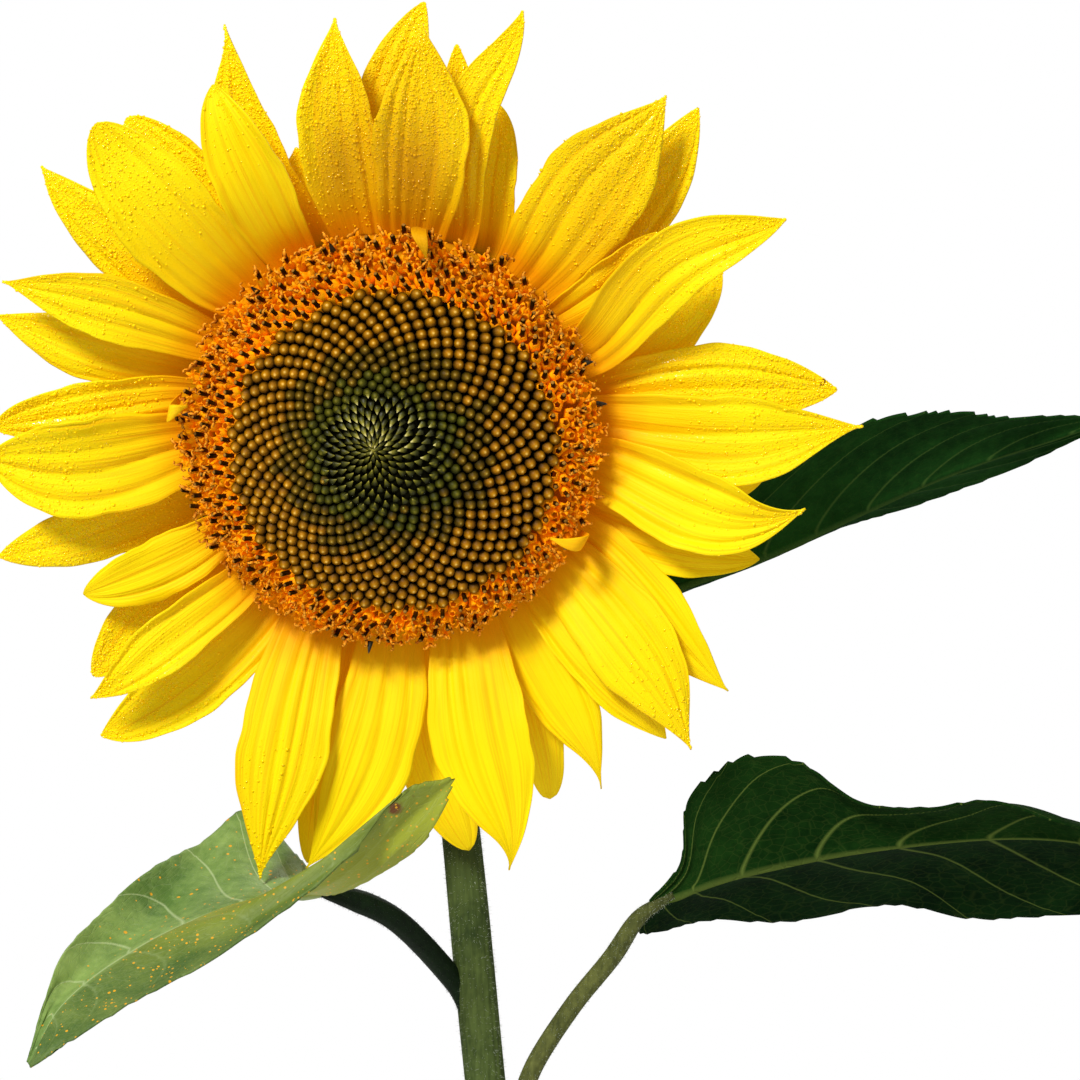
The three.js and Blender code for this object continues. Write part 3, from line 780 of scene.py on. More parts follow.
for name, height, reach, tip_height, turn in BRACT_RINGS:
    ring = bmesh.new()
    for k in range(BRACT_COUNT):
        angle = (k + turn) / BRACT_COUNT * 2 * math.pi
        lean = luck.uniform(-1.2, 1.2)
        surface = bract_surface(angle, height, reach - luck.uniform(5, 8), tip_height, lean)
        one = blade(surface, BRACT_COLUMNS, BRACT_ROWS, BRACT_THICKNESS)
        scratch = bpy.data.meshes.new("bract")
        one.to_mesh(scratch)
        one.free()
        ring.from_mesh(scratch)
        bpy.data.meshes.remove(scratch)
    piece(name + "_green", ring, bract_green, "bract", name, pose=HEAD_POSE)

# Disc
# Some fourteen hundred small florets on golden-angle spirals: green scales in the middle, then closed
# golden-brown buds with dark gaps, then a few rows of open orange florets with dark anther tubes.
DISC_RIM_RADIUS = 39.6
DISC_BUD_RADIUS = 30.3
DISC_OLIVE_RADIUS = 20
DISC_GREEN_RADIUS = 14.5
DISC_SCALE_RADIUS = 12
YOUNGEST_BUD_RADIUS = 10.5
BUD_TOTAL = 800
FLORET_TOTAL = 1400
SPIRAL_POWER = 0.65
SPIRAL_SHIFT = (-4.8, 0.8)
DISC_SHIFT = (1.7, -1.0)
GOLDEN_ANGLE = math.radians(137.508)
BUD_FILL = 0.57
BUD_JITTER = 0.13
BUD_DEPTH = 1.1
BUD_HEIGHT = 1.2
DISC_FLOOR_DEPTH = 2.4
BAND_JITTER = 1.3
SUNWARD = (-0.34, 0.3)

floret_number = np.arange(1, FLORET_TOTAL)
floret_radius = DISC_BUD_RADIUS * (floret_number / BUD_TOTAL) ** SPIRAL_POWER
floret_angle = floret_number * GOLDEN_ANGLE
ring_inner = DISC_BUD_RADIUS + 0.4 - 0.5 * np.sin(floret_angle)


def disc_height(radius):
    """The height of the disc's dome over its rim plane, with its dimple in the middle."""
    dome = 15.6 - 4.2 * (np.clip(radius, 14, 40) - 14) ** 1.6 / 16.5**1.6
    return dome - 1.8 * np.exp(-((radius / 8) ** 2))


def disc_spot(radius, angle, height):
    """Floret places, with the spirals' middle shifted a little off the disc's middle."""
    pull = np.clip(1 - radius / DISC_RIM_RADIUS, 0, 1) ** 1.2
    drift = np.clip(2 - radius / DISC_BUD_RADIUS, 0.5, 1)
    return np.stack([
        radius * np.cos(angle) + SPIRAL_SHIFT[0] * pull + DISC_SHIFT[0] * drift,
        radius * np.sin(angle) + SPIRAL_SHIFT[1] * pull + DISC_SHIFT[1] * drift,
        height,
    ], axis=1)


def disc_axis(radius, angle, lean):
    """Floret directions: straight out of the disc, tipped away from its middle by lean."""
    return np.stack([lean * np.cos(angle), lean * np.sin(angle), np.ones_like(radius)], axis=1)


def tissue(name, stops, roughness=0.5, specular=0.4, vary=0.35, grain_scale=900, **sockets):
    """Small florets' tissue: its colour changes from foot to tip, and from one floret to the next."""
    material, tree, shader = finish(name, roughness, specular, **sockets)
    grain = noise(tree, object_place(tree), grain_scale, 3)
    even = maths(tree, "MULTIPLY_ADD", grain, vary, 1 - vary)
    shade = maths(tree, "MULTIPLY_ADD", attribute(tree, "tint"), vary, even)
    tone = ramp(tree, attribute(tree, "rise"), stops)
    toned = add(tree, "HueSaturation", {"Value": shade, "Color": tone}).outputs[0]
    put(tree, shader.inputs["Base Color"], toned)
    bump(tree, shader, grain, 0.6, 0.0003)
    return material


disc_floor = [(0, RECEPTACLE_TOP + GAP), (29.6, RECEPTACLE_TOP + GAP)]
floor_radii = (29.6, 27, 23, 19, 15, 11, 8, 5, 3, 1, 0)
disc_floor += [(r, float(disc_height(r)) - DISC_FLOOR_DEPTH) for r in floor_radii]
# Painted shade: a near-black ground under the florets stands in for the deep shade in the gaps between them.
gap_shade = tissue("disc_gap_painted_shade", [(0, (14, 13, 1)), (1, (14, 13, 1))], 0.9, 0.03)
ground_pose = HEAD_POSE @ Matrix.Translation((DISC_SHIFT[0], DISC_SHIFT[1], 0))
piece("disc_ground", turned(disc_floor, 72), gap_shade, "disc_buds", pose=ground_pose)


def bud_pattern():
    """A closed bud: a five-sided bead whose lobes meet in a small star on top."""
    bm = bmesh.new()
    bmesh.ops.create_uvsphere(bm, u_segments=10, v_segments=8, radius=1)

    def place(x, y, z):
        star = np.cos(5 * np.arctan2(y, x))
        lobes = 1 + 0.17 * star * (1 - 0.3 * np.abs(z))
        square = np.abs(z) ** 0.8 * np.sign(z)
        body = np.where(z > 0, 0.85 * square + 0.22 * np.maximum(0, z) ** 8, 1.9 * square)
        body += 0.28 * star * np.hypot(x, y) * np.maximum(0, z)
        return np.stack([x * lobes, y * lobes, body], axis=1)

    reshape(bm, place)
    return bm


def scale_pattern():
    """A young scale of the middle: a narrow keeled leaf that comes to a point and bends over."""
    bm = bmesh.new()
    rod(bm, 6, 0.5, 0.03, 4)

    def place(x, y, z):
        share = z + 0.5
        return np.stack([x * 1.5, y * 0.7 + 0.5 * share**2, share - 0.2 * share**3], axis=1)

    reshape(bm, place)
    face_out(bm)
    return bm


def spacing(radius):
    """How far apart neighbouring florets are at a radius."""
    share = np.maximum(radius, 1.2) / DISC_BUD_RADIUS
    area = 2 * math.pi * SPIRAL_POWER * DISC_BUD_RADIUS**2 * share ** (2 - 1 / SPIRAL_POWER) / BUD_TOTAL
    return np.sqrt(area)


# A band is: its least and most radius, the nodes it replaces, and its colours from foot to tip.
# Each band's colours lay painted light and shade over the bud's own tone: a near-black foot as shade down
# between the buds, and a paler last stop as a highlight on the top.
BUD_BANDS = {
    "golden": (DISC_OLIVE_RADIUS, DISC_RIM_RADIUS, ["disc_buds"], [
        (0, (5, 3, 0)), (0.66, (12, 7, 0)), (0.8, (84, 52, 0)), (0.9, (138, 88, 0)),
        (0.96, (164, 110, 2)), (1, (222, 180, 84)),
    ]),
    "olive": (DISC_GREEN_RADIUS, DISC_OLIVE_RADIUS, ["disc_centre"], [
        (0, (5, 4, 0)), (0.66, (10, 8, 0)), (0.82, (58, 44, 1)), (0.93, (94, 68, 2)),
        (0.97, (124, 94, 10)), (1, (176, 150, 70)),
    ]),
    "green": (0, DISC_GREEN_RADIUS, [], [
        (0, (4, 5, 0)), (0.66, (9, 9, 0)), (0.82, (42, 42, 2)), (0.94, (70, 68, 6)), (1, (108, 100, 26)),
    ]),
}
closed = (floret_radius > YOUNGEST_BUD_RADIUS) & (floret_radius <= ring_inner)
ripeness = floret_radius + luck.normal(0, BAND_JITTER, len(floret_radius))
for band, (least, most, nodes, stops) in BUD_BANDS.items():
    chosen = closed & (ripeness > least) & (ripeness <= most)
    radius = floret_radius[chosen]
    angle = floret_angle[chosen]
    wide = spacing(radius) * BUD_FILL
    spots = disc_spot(radius, angle, disc_height(radius) - BUD_DEPTH)
    axes = disc_axis(radius, angle, 0.1 + 0.22 * radius / DISC_BUD_RADIUS)
    axes += luck.normal(0, BUD_JITTER, axes.shape)
    places = standing(spots, axes, wide, wide * BUD_HEIGHT)
    skin = tissue("bud_" + band, stops, 0.5, 0.1, 0.4, 1600)
    scatter("buds_" + band, bud_pattern(), places, skin, "disc_buds", *nodes, pose=HEAD_POSE)

# Painted light and shade: the pale copy, with a painted highlight at the tip, is the lit scale and the dark
# copy the shaded one.
SCALE_STOPS = {
    "dark": [(0, (8, 8, 0)), (0.5, (50, 50, 2)), (0.85, (92, 88, 8)), (1, (146, 134, 40))],
    "pale": [(0, (12, 12, 0)), (0.4, (62, 62, 6)), (0.75, (134, 126, 38)), (1, (226, 212, 136))],
}
young = floret_radius < DISC_SCALE_RADIUS
young_angle = floret_angle[young]
# Painted light: scales on the upper side, where the lamp falls, mostly take the pale copy.
light_side = 0.35 + 0.5 * np.sin(young_angle + 0.2) - floret_radius[young] / 30
pale = luck.random(young.sum()) < light_side
for tone, stops in SCALE_STOPS.items():
    kept = pale if tone == "pale" else ~pale
    radius = floret_radius[young][kept]
    angle = young_angle[kept]
    spots = disc_spot(radius + 0.3 * spacing(radius), angle, disc_height(radius) - 1.2 + 0.05 * radius)
    axes = disc_axis(radius, angle, -0.85)
    inward = disc_axis(radius, angle, -1) * [1, 1, 0]
    tall = luck.uniform(2.1, 2.9, len(radius)) * (1.1 - radius / 32)
    wide = spacing(radius) * (0.98 - 0.028 * radius)
    places = standing(spots, axes, wide, tall, inward)
    skin = tissue("scale_" + tone, stops, 0.5, 0.25)
    scatter("scales_" + tone, scale_pattern(), places, skin, "disc_buds", pose=HEAD_POSE)


COROLLA_TUBE = 3
COROLLA_RIM = 2.9


def corolla_pattern(lobes):
    """An open floret's corolla: a swollen tube that ends in five lobes, curled back at their tips."""
    bm = bmesh.new()
    rod(bm, 5, 0.62, 0.8, 3, depth=COROLLA_TUBE, capped=False)

    def place(x, y, z):
        height = z + COROLLA_TUBE / 2
        swell = 1 + 0.3 * np.sin(np.pi * np.minimum(1, height / 2.6)) - 0.25 * (height > COROLLA_RIM)
        return np.stack([x * swell, y * swell, height], axis=1)

    reshape(bm, place)
    rim = [e for e in bm.edges if min(v.co.z for v in e.verts) > COROLLA_RIM]
    for edge in rim:
        for out, rise, narrow in lobes:
            made = bmesh.ops.extrude_edge_only(bm, edges=[edge])["geom"]
            corners = [g for g in made if isinstance(g, bmesh.types.BMVert)]
            ends = set(corners)
            edge = next(g for g in made if isinstance(g, bmesh.types.BMEdge) and set(g.verts) == ends)
            middle = (corners[0].co + corners[1].co) / 2
            away = Vector((middle.x, middle.y, 0)).normalized()
            for corner in corners:
                corner.co = middle + (corner.co - middle) * narrow + away * out + Vector((0, 0, rise))
    face_out(bm)
    bmesh.ops.solidify(bm, geom=bm.faces[:], thickness=0.1)
    face_out(bm)
    return bm


def anther_pattern():
    """The dark tube of anthers that stands out of an open corolla, split at its end."""
    bm = bmesh.new()
    bmesh.ops.create_cone(bm, segments=6, radius1=0.38, radius2=0.48, depth=1.9, cap_ends=True)
    bmesh.ops.translate(bm, vec=(0, 0, 0.6), verts=bm.verts)
    top = [f for f in bm.faces if f.normal.z > 0.9]
    bmesh.ops.inset_region(bm, faces=top, thickness=0.16, depth=0.3)
    return bm


def stigma_pattern():
    """Two orange stigma arms that curl out of the anther tube."""
    bm = bmesh.new()
    for way in (-1, 1):
        rod(bm, 4, 0.28, 0.16, 4)
        for vertex in [v for v in bm.verts if not v.tag]:
            share = vertex.co.z + 0.5
            vertex.co.x += way * (1.3 * share**1.3 - 0.3 * share**4)
            vertex.co.z = 1 + 1.9 * share - 1.7 * share**3 + 0.4 * vertex.co.z * (share > 0.6)
            vertex.tag = True
    face_out(bm)
    return bm


RING_TOP = 12.2
RING_TUBE = 3.4
RING_EDGE = 40.4
FRESH_AGE = 0.45
CURLED_AGE = 0.42
ring_reach = np.linalg.norm(disc_spot(floret_radius, floret_angle, floret_radius)[:, :2], axis=1)
opened = (floret_radius > ring_inner) & (ring_reach < RING_EDGE)
ring_radius = floret_radius[opened]
ring_angle = floret_angle[opened] + luck.normal(0, 0.008, opened.sum())
ring_age = np.clip((ring_radius - DISC_BUD_RADIUS) / (DISC_RIM_RADIUS - DISC_BUD_RADIUS), 0, 1)
ring_count = len(ring_age)
ring_lean = disc_axis(ring_radius, ring_angle, 0.2 + 0.6 * ring_age)
ring_lean[:, :2] += np.array(SUNWARD) * 0.6
ring_lean[:, :2] += luck.normal(0, 1, (ring_count, 2)) * (0.07 + 0.2 * ring_age**2)[:, None]
ring_lean = unit(ring_lean)
ring_size = 0.98 + 0.14 * luck.random(ring_count)
ring_tall = ring_size * (0.95 + 0.2 * luck.random(ring_count))
ring_rise = RING_TOP - 1.6 - 4.2 * ring_age**2
ring_rise += luck.normal(0, 1, ring_count) * (0.2 + 0.5 * ring_age**2)
ring_mouth = disc_spot(ring_radius - 0.3, ring_angle, ring_rise)
ring_foot = ring_mouth - ring_lean * (ring_tall * RING_TUBE)[:, None]
ring_hint = luck.normal(0, 1, (ring_count, 3))
# The corolla's dark foot is painted shade down between the florets, and its faint orange emission a painted
# glow.
corolla_skin = tissue("corolla_orange", [
    (0, (110, 42, 0)), (0.45, (232, 138, 0)), (0.75, (250, 174, 2)), (1, (230, 136, 5)),
], 0.6, 0.08, 0.3, 600, Emission_Color=(255, 140, 0), Emission_Strength=0.12)
fresh = ring_age < FRESH_AGE
spent_lobes = [(0.16, 0.5, 0.85), (0.42, 0.3, 0.6), (0.34, -0.3, 0.2)]
fresh_lobes = [(-0.1, 0.3, 0.8), (0.02, 0.16, 0.4)]
ring_places = standing(ring_foot, ring_lean, ring_size * (1.3 - 0.3 * ring_age), ring_tall, ring_hint)
scatter("open_corollas_outer", corolla_pattern(spent_lobes), ring_places[~fresh], corolla_skin,
        "disc_florets", "disc_open_florets", pose=HEAD_POSE)
scatter("open_corollas_inner", corolla_pattern(fresh_lobes), ring_places[fresh], corolla_skin,
        "disc_florets", pose=HEAD_POSE)
anther_lean = ring_lean + np.array([*SUNWARD, 0]) * 0.7
anther_lean += disc_axis(ring_radius, ring_angle, 0.35) * [1, 1, 0]
anther_lean += luck.normal(0, 0.12, (ring_count, 3))
anther_spots = ring_mouth - ring_lean * 0.3
anther_places = standing(anther_spots, anther_lean, ring_size * 0.95, ring_size * 0.95, ring_hint)
anther_skin = tissue("anther_brown", [
    (0, (150, 74, 4)), (0.3, (72, 36, 2)), (0.6, (44, 22, 0)), (0.9, (36, 18, 0)),
    (1, (150, 104, 40)),
], 0.9, 0.02, 0.6)
grown = luck.random(ring_count) < 0.85 - 0.5 * ring_age**3
scatter("anther_tubes", anther_pattern(), anther_places[grown], anther_skin, "disc_florets", pose=HEAD_POSE)
# The stigmas' dark foot is painted shade.
stigma_skin = tissue("stigma_amber", [
    (0, (90, 38, 2)), (0.5, (176, 94, 4)), (1, (228, 148, 30)),
], 0.6, 0.12)
curled = ring_age > CURLED_AGE
stigma_lean = ring_lean[curled] + luck.normal(0, 0.32, (curled.sum(), 3))
stigma_wide = 0.75 + 0.45 * ring_age[curled] + 0.2 * luck.random(curled.sum())
stigma_places = standing(anther_spots[curled], stigma_lean, stigma_wide, stigma_wide, ring_hint[curled])
scatter("stigmas", stigma_pattern(), stigma_places, stigma_skin, "disc_florets", pose=HEAD_POSE)
ring_bed = [
    (27.4, RECEPTACLE_TOP + GAP), (RECEPTACLE_RADIUS + 0.1, RECEPTACLE_TOP + GAP),
    (RECEPTACLE_RADIUS + 0.1, -3), (38.4, -3), (38.6, 1.5), (38, 3.2), (36.6, 4.4), (34.6, 5.8),
    (32.4, 7), (30, 7.8), (27.4, 8), (27.4, RECEPTACLE_TOP + GAP),
]
bed_skin = tissue("floret_bed_orange", [
    (0, (214, 140, 0)), (0.6, (190, 106, 0)), (1, (150, 70, 0)),
], 0.8, 0.05)
piece("floret_bed", turned(ring_bed, TURNED_STEPS), bed_skin, "disc_florets", pose=HEAD_POSE)

PALEA_FOOT = 7.5
PALEA_WIDTH = 0.9
PALEA_LENGTH = 3.4
palea_angle = np.radians([12, 24, 107, 131, 171, 262])
palea_radius = np.full(len(palea_angle), DISC_RIM_RADIUS - 0.6)
palea_spots = disc_spot(palea_radius, palea_angle, np.full(len(palea_angle), PALEA_FOOT))
palea_lean = disc_axis(palea_radius, palea_angle, 1.3)
palea_places = standing(palea_spots, palea_lean, PALEA_WIDTH, PALEA_LENGTH)
palea_skin = tissue("palea_black", [(0, (34, 36, 12)), (1, (10, 10, 4))], 0.6)
scatter("palea_tips", scale_pattern(), palea_places, palea_skin, "disc_florets", pose=HEAD_POSE)

# Rays
# Forty-one yellow strap florets in four layers round the rim. Each is thin, cupped and pleated from
# its narrow foot to its pointed tip, orange at the foot and lemon in the light.
# A row is: angle of the foot, tip to the right and up of the disc centre as seen, width, layer, bow of
# the whole ray and hook of its outer part to the left of its own way, sharpness of the point.
RAYS = [
    (99, -11, 80.2, 14.8, 2, 0.8, 0, 1.4), (93, 6.3, 83.1, 13.5, 0, 0, 0, 0.8),
    (83, 5.8, 78.8, 17.7, 3, 0, 0, 1.4), (76, 12.5, 75, 8.7, 1, 0, 0, 0.8),
    (71, 25.4, 81.2, 10.2, 2, 5, 0, 1), (63, 20.5, 63.4, 10.5, 0, 2.6, 0, 0.8),
    (49, 52.9, 65.2, 20.5, 2, 1.4, 0, 1.25), (40, 59, 62.7, 14.4, 0, 0, 0, 0.9),
    (34, 51, 38.7, 10.4, 2, -0.5, 0, 0.8), (23, 75.8, 41.3, 13.6, 3, 5.2, 3, 1),
    (15, 63.5, 31.9, 11.9, 0, 1.2, 0, 0.8), (9, 85.4, 8.5, 15.3, 1, 1.7, 0, 0.8),
    (2, 90.4, 1.5, 17.5, 2, -2.2, 0, 1.5), (-8, 79.2, -14.2, 16, 3, 0, -4.6, 1.4),
    (-16, 72.9, -6.9, 9.6, 0, 0, 0, 0.7), (-23, 70.4, -24, 11.9, 1, 0, 0, 0.8),
    (-29, 64.6, -48.7, 13.5, 2, 0, -2.5, 1.2), (-38, 57.5, -60.6, 17.5, 3, 0, 0, 1.5),
    (-48, 52.7, -58.3, 11.2, 2, 0, 0, 0.8), (-57, 40.2, -68.5, 13.3, 1, -1, 1.8, 1.9),
    (-62, 30.6, -70.8, 9.4, 0, 0.3, 0, 0.45), (-70, 22.5, -83.8, 19.2, 3, -4, 2, 1.6),
    (-84, 15.2, -80.6, 13.5, 0, -1.6, 0, 0.6), (-91, -16.3, -83.3, 18, 2, 0, 0, 1.3),
    (-101, -16.2, -82.3, 11, 1, 0, 0, 0.7), (-113, -25, -85, 17.6, 3, 1.4, 0, 1.4),
    (-125, -56.3, -58.3, 14.2, 1, -0.8, 0, 0.8), (-135, -58.3, -51.2, 10.8, 3, -1.6, 0, 1.2),
    (-143, -57.3, -46.3, 12.8, 0, -0.8, 0, 0.7), (-149, -59.2, -30.6, 11.9, 2, 0, 0, 0.7),
    (-161, -76, -23.8, 11.9, 0, 0, 0, 0.8), (-176, -78.1, -5.6, 19.5, 2, 1.2, 0, 0.7),
    (171, -76.5, 1.2, 11.9, 1, 1.6, 0, 0.7), (164, -76.3, 22.9, 12.2, 0, 0.4, 0, 1.1),
    (153, -75.4, 29.2, 12.2, 2, -0.4, 0, 1.4), (147, -67.7, 51.3, 12.7, 1, -1.2, 0, 1),
    (135, -56.5, 59.6, 18.6, 3, -0.3, 0, 0.6), (128, -51.5, 60.8, 15, 0, 0, 0, 0.6),
    (118, -34.8, 67.3, 13.4, 3, -0.6, 0, 0.8), (113, -32.3, 78.8, 12.8, 1, 3.4, 0, 1.7),
    (108, -18.3, 55, 9.2, 0, 1, 0, 0.8),
]
# How wet each ray is, by its number. A ray that isn't listed is dry.
DEWY = {
    1: 1.0, 2: 1.0, 3: 0.9, 4: 0.9, 5: 0.9, 6: 0.5, 7: 0.7, 8: 1.0, 9: 0.2, 10: 0.35, 11: 0.4, 12: 1.0,
    13: 0.35, 14: 0.12, 18: 0.15, 26: 0.12, 27: 0.35, 28: 0.3, 29: 0.7, 31: 0.9, 32: 0.3, 33: 0.8,
    34: 0.4, 35: 0.35, 36: 0.9, 37: 0.3, 38: 1.0, 39: 0.08, 40: 1.0, 41: 0.8,
}
RAY_BASE_RADIUS = RECEPTACLE_RADIUS + GAP
RAY_BASE_HEIGHTS = (-6, -4.4, -2.8, -1.2)
RAY_MIDDLE_HEIGHTS = (-1, 2.5, 6, 9.5)
RAY_TIP_HEIGHTS = (-3, 1.5, 6, 10)
RAY_FULL_LENGTH = 38
RAY_BASE_SHARE = 0.65
RAY_WIDEST = 0.48
RAY_BOW_PEAK = 16
RAY_HOOK_PEAK = 6.75
RAY_TIP_HALF = 0.12
RAY_THICKNESS = 0.28
FINE_DEW_SCALE = 2300
RAY_COLUMNS = 40
RAY_ROWS = 54


def on_head(right, up, height):
    """Where a tip that is seen right and up of the disc centre lies in the head's frame."""
    slope = math.sin(HEAD_NOD)
    rise = math.cos(HEAD_NOD)
    sight_right = HEAD_CENTRE[0] - EYE[0] + right
    sight_up = HEAD_CENTRE[2] - EYE[2] + up
    nearer = 1 - height * rise / VIEW_DISTANCE
    lean = sight_up * nearer + height * slope - (HEAD_CENTRE[2] - EYE[2])
    y = lean / (rise + sight_up * slope / VIEW_DISTANCE)
    shrink = nearer - y * slope / VIEW_DISTANCE
    return np.array([EYE[0] + sight_right * shrink - HEAD_CENTRE[0], y, height])


def ray_half(share, width, point):
    """Half a ray's width along its length: narrow foot, widest near the middle, pointed tip."""
    open_up = np.sin(np.minimum(1, share / RAY_WIDEST) * math.pi / 2)
    past = np.maximum(0, (share - RAY_WIDEST) / (1 - RAY_WIDEST))
    half = width * 0.5 * (RAY_BASE_SHARE + (1 - RAY_BASE_SHARE) * open_up) * (1 - past**2) ** point
    return np.maximum(RAY_TIP_HALF, half)


def ray_surface(row, cup, ribs, pleat, twist, wave, curl):
    """One ray's middle surface in the head's frame."""
    degrees, right, up, width, layer, bow, hook, point = row
    out, _ = outward(math.radians(degrees))
    base = out * RAY_BASE_RADIUS + [0, 0, RAY_BASE_HEIGHTS[layer]]
    reach = min(1, (math.hypot(right, up) - RAY_BASE_RADIUS) / RAY_FULL_LENGTH)
    levels = base[2] + (np.array([RAY_MIDDLE_HEIGHTS[layer], RAY_TIP_HEIGHTS[layer]]) - base[2]) * reach
    tip = on_head(right, up, levels[1])
    bend = base + out * np.linalg.norm(tip - base) / 2
    bend[2] = 2 * levels[0] - (base[2] + tip[2]) / 2
    sideways = unit(np.array([base[1] - tip[1], tip[0] - base[0], 0]))
    facing = np.array([0, 0, 1.0])
    phase = luck.uniform(-1, 1)

    def middle(s):
        still = s**2 * (1 - s)
        shift = RAY_BOW_PEAK * bow * still * (1 - s) + RAY_HOOK_PEAK * hook * still
        return arc(base, bend, tip, s) + sideways * shift

    def surface(across, share):
        s = share[:, None]
        tangent = unit(middle(s + 1e-3) - middle(s - 1e-3))
        side = unit(np.cross(facing, tangent))
        over = np.cross(tangent, side)
        roll = (twist * (share - 0.25) * np.clip(share * 4, 0, 1))[:, None]
        side, over = side * np.cos(roll) + over * np.sin(roll), over * np.cos(roll) - side * np.sin(roll)
        half = ray_half(share, width, point)
        body = np.sin(math.pi * np.clip(share, 0, 1))
        nick = 1 + 0.03 * np.sin(share * 17 + phase * 5 + np.sign(across)) * body
        nick += 0.012 * np.sin(share * 43 + phase * 9 - 2 * np.sign(across)) * body
        drift = across + 0.2 * phase + 0.07 * np.sin(share * 5 + phase * 7)
        drift += 0.12 * np.sin(across * 3 + phase * 6)
        fold = np.abs(np.sin(0.5 * ribs * math.pi * drift))
        ridges = pleat * (fold**0.8 - 0.6) * (0.7 + 0.5 * np.sin(drift * 4 + phase * 8))
        ridges += 0.07 * np.abs(np.sin(2.2 * ribs * math.pi * drift))
        ridges *= np.minimum(1, 0.5 + share * 2) * np.maximum(0, 1 - share**3) ** 0.6
        ridges *= np.minimum(1, half / 4)
        ripple = wave * np.sin(share * 11 + np.sign(across) * 2 + phase * 4) * np.abs(across) ** 3 * body
        lift = cup * across**2 * half * 2 + ridges + ripple + curl * np.maximum(0, share - 0.7) ** 2
        spread = np.where(np.abs(across) > 0.8, nick, 1)
        return middle(s) + side * (across * half * spread)[:, None] + over * lift[:, None]

    return surface


RAY_SPOTS = [
    ((57, 224.5), 1.1, (110, 66, 8)), ((-31, 252), 0.45, (120, 70, 6)),
    ((-35, 253.5), 0.3, (150, 84, 6)),
]
# Painted shade on the upper rays, where they lie over each other and in their own shade. A patch is: its
# middle across and up the plant, its size, its most strength and its colour.
RAY_SHADES = [
    ((-25, 257), 24, 0.75, (204, 144, 0)), ((14.5, 256), 20, 0.5, (214, 160, 0)),
    ((-34, 264), 7, 0.6, (168, 116, 0)), ((-20, 261), 9, 0.6, (172, 108, 0)),
]


def shaded(tree, tint):
    """Painted shade: soft deeper patches on rays that lie over each other. Returns the changed colour."""
    for (x, z), size, most, tone in RAY_SHADES:
        away = far_from(tree, (x, 0, z), (1, 0, 0.55))
        tint = blend(tree, ranged(tree, away, size * MM, 0, most, "SMOOTHSTEP"), tint, tone)
    return tint


def petal_skin(name, foot, body, tip):
    """Thin ray tissue: orange at the foot, long streaks, and a faint orange glow painted in for the light
    that comes through it.
    """
    # The orange emission is a painted glow, not a lamp.
    material, tree, shader = finish(
        name, 0.6, 0.1, Emission_Color=(255, 160, 0), Emission_Strength=0.1, Coat_Roughness=0.12
    )
    uv = add(tree, "UVMap", uv_map="UVMap").outputs[0]
    share = add(tree, "SeparateXYZ", {"Vector": uv}).outputs["Y"]
    tint = ramp(tree, share, [(0, foot), (0.07, foot), (0.22, body), (0.55, tip), (1, tip)])
    stretched = add(tree, "Mapping", {"Vector": uv, "Scale": (26, 1.1, 1)}).outputs[0]
    own = add(tree, "VectorMath", {0: stretched, 1: attribute(tree, "seed")}, operation="ADD").outputs[0]
    streaks = noise(tree, own, 1, 4)
    tint = blend(tree, ranged(tree, streaks, 0.5, 0.68, 0.45), tint, (226, 146, 0))
    broad = noise(tree, object_place(tree), 55)
    tint = blend(tree, ranged(tree, broad, 0.45, 0.75, 0.35), tint, (246, 228, 14))
    for (x, z), size, tone in RAY_SPOTS:
        tint = blend(tree, blot(tree, (x, 0, z), size, (1, 0, 1)), tint, tone)
    # The base colour carries the rays' painted shade.
    put(tree, shader.inputs["Base Color"], shaded(tree, tint))
    cells = add(tree, "TexVoronoi", {"Vector": object_place(tree), "Scale": FINE_DEW_SCALE})
    bead = ranged(tree, cells.outputs["Distance"], 0.5, 0.1, kind="SMOOTHSTEP")
    wet = maths(tree, "MULTIPLY", attribute(tree, "wet"), ranged(tree, share, 0.15, 0.55))
    dew = maths(tree, "MULTIPLY", bead, wet)
    put(tree, shader.inputs["Coat Weight"], maths(tree, "MULTIPLY", dew, 0.7))
    bump(tree, shader, maths(tree, "MULTIPLY_ADD", dew, 0.8, streaks), 0.6, 0.0004)
    return material


ray_yellow = petal_skin("ray_yellow", (222, 142, 0), (235, 195, 0), (235, 211, 0))
ray_forms = {}
for number, row in enumerate(RAYS, 1):
    surface = ray_surface(
        row,
        cup=luck.uniform(-0.02, 0.14),
        ribs=max(2, round(row[3] / 3.9)),
        pleat=luck.uniform(0.7, 1.1),
        twist=luck.uniform(-0.3, 0.3),
        wave=luck.uniform(0.2, 0.8),
        curl=luck.uniform(-14, 18),
    )
    ray_forms[number] = surface
    ray_mesh = blade(surface, RAY_COLUMNS, RAY_ROWS, RAY_THICKNESS)
    node = f"ray_floret_{number:02d}"
    ray = piece(f"ray_{number:02d}", ray_mesh, ray_yellow, "ray_floret", node, pose=HEAD_POSE)
    for label, value in (("seed", luck.uniform(0, 40)), ("wet", DEWY.get(number, 0))):
        mark(ray.data, label, np.full(len(ray.data.vertices), float(value)))

# Dew
# The morning's dew stands in fine beads on the rays that the sun has not dried yet: most of it at the
# top and the sides, none on the lowest rays.
DEW_ON_ONE = 1500
DEW_ROWS = 8
DEW_LIFT = 0.03
DEW_SIZES = (0.08, 0.42)
DEW_FLATNESS = 0.55
DEW_LINED_SHARE = 0.35
DEW_PARTS = {
    "dew_top": (1, 4), "dew_back": (5, 8), "dew_right": (9, 12), "dew_low": (13, 35), "dew_left": (36, 41),
}
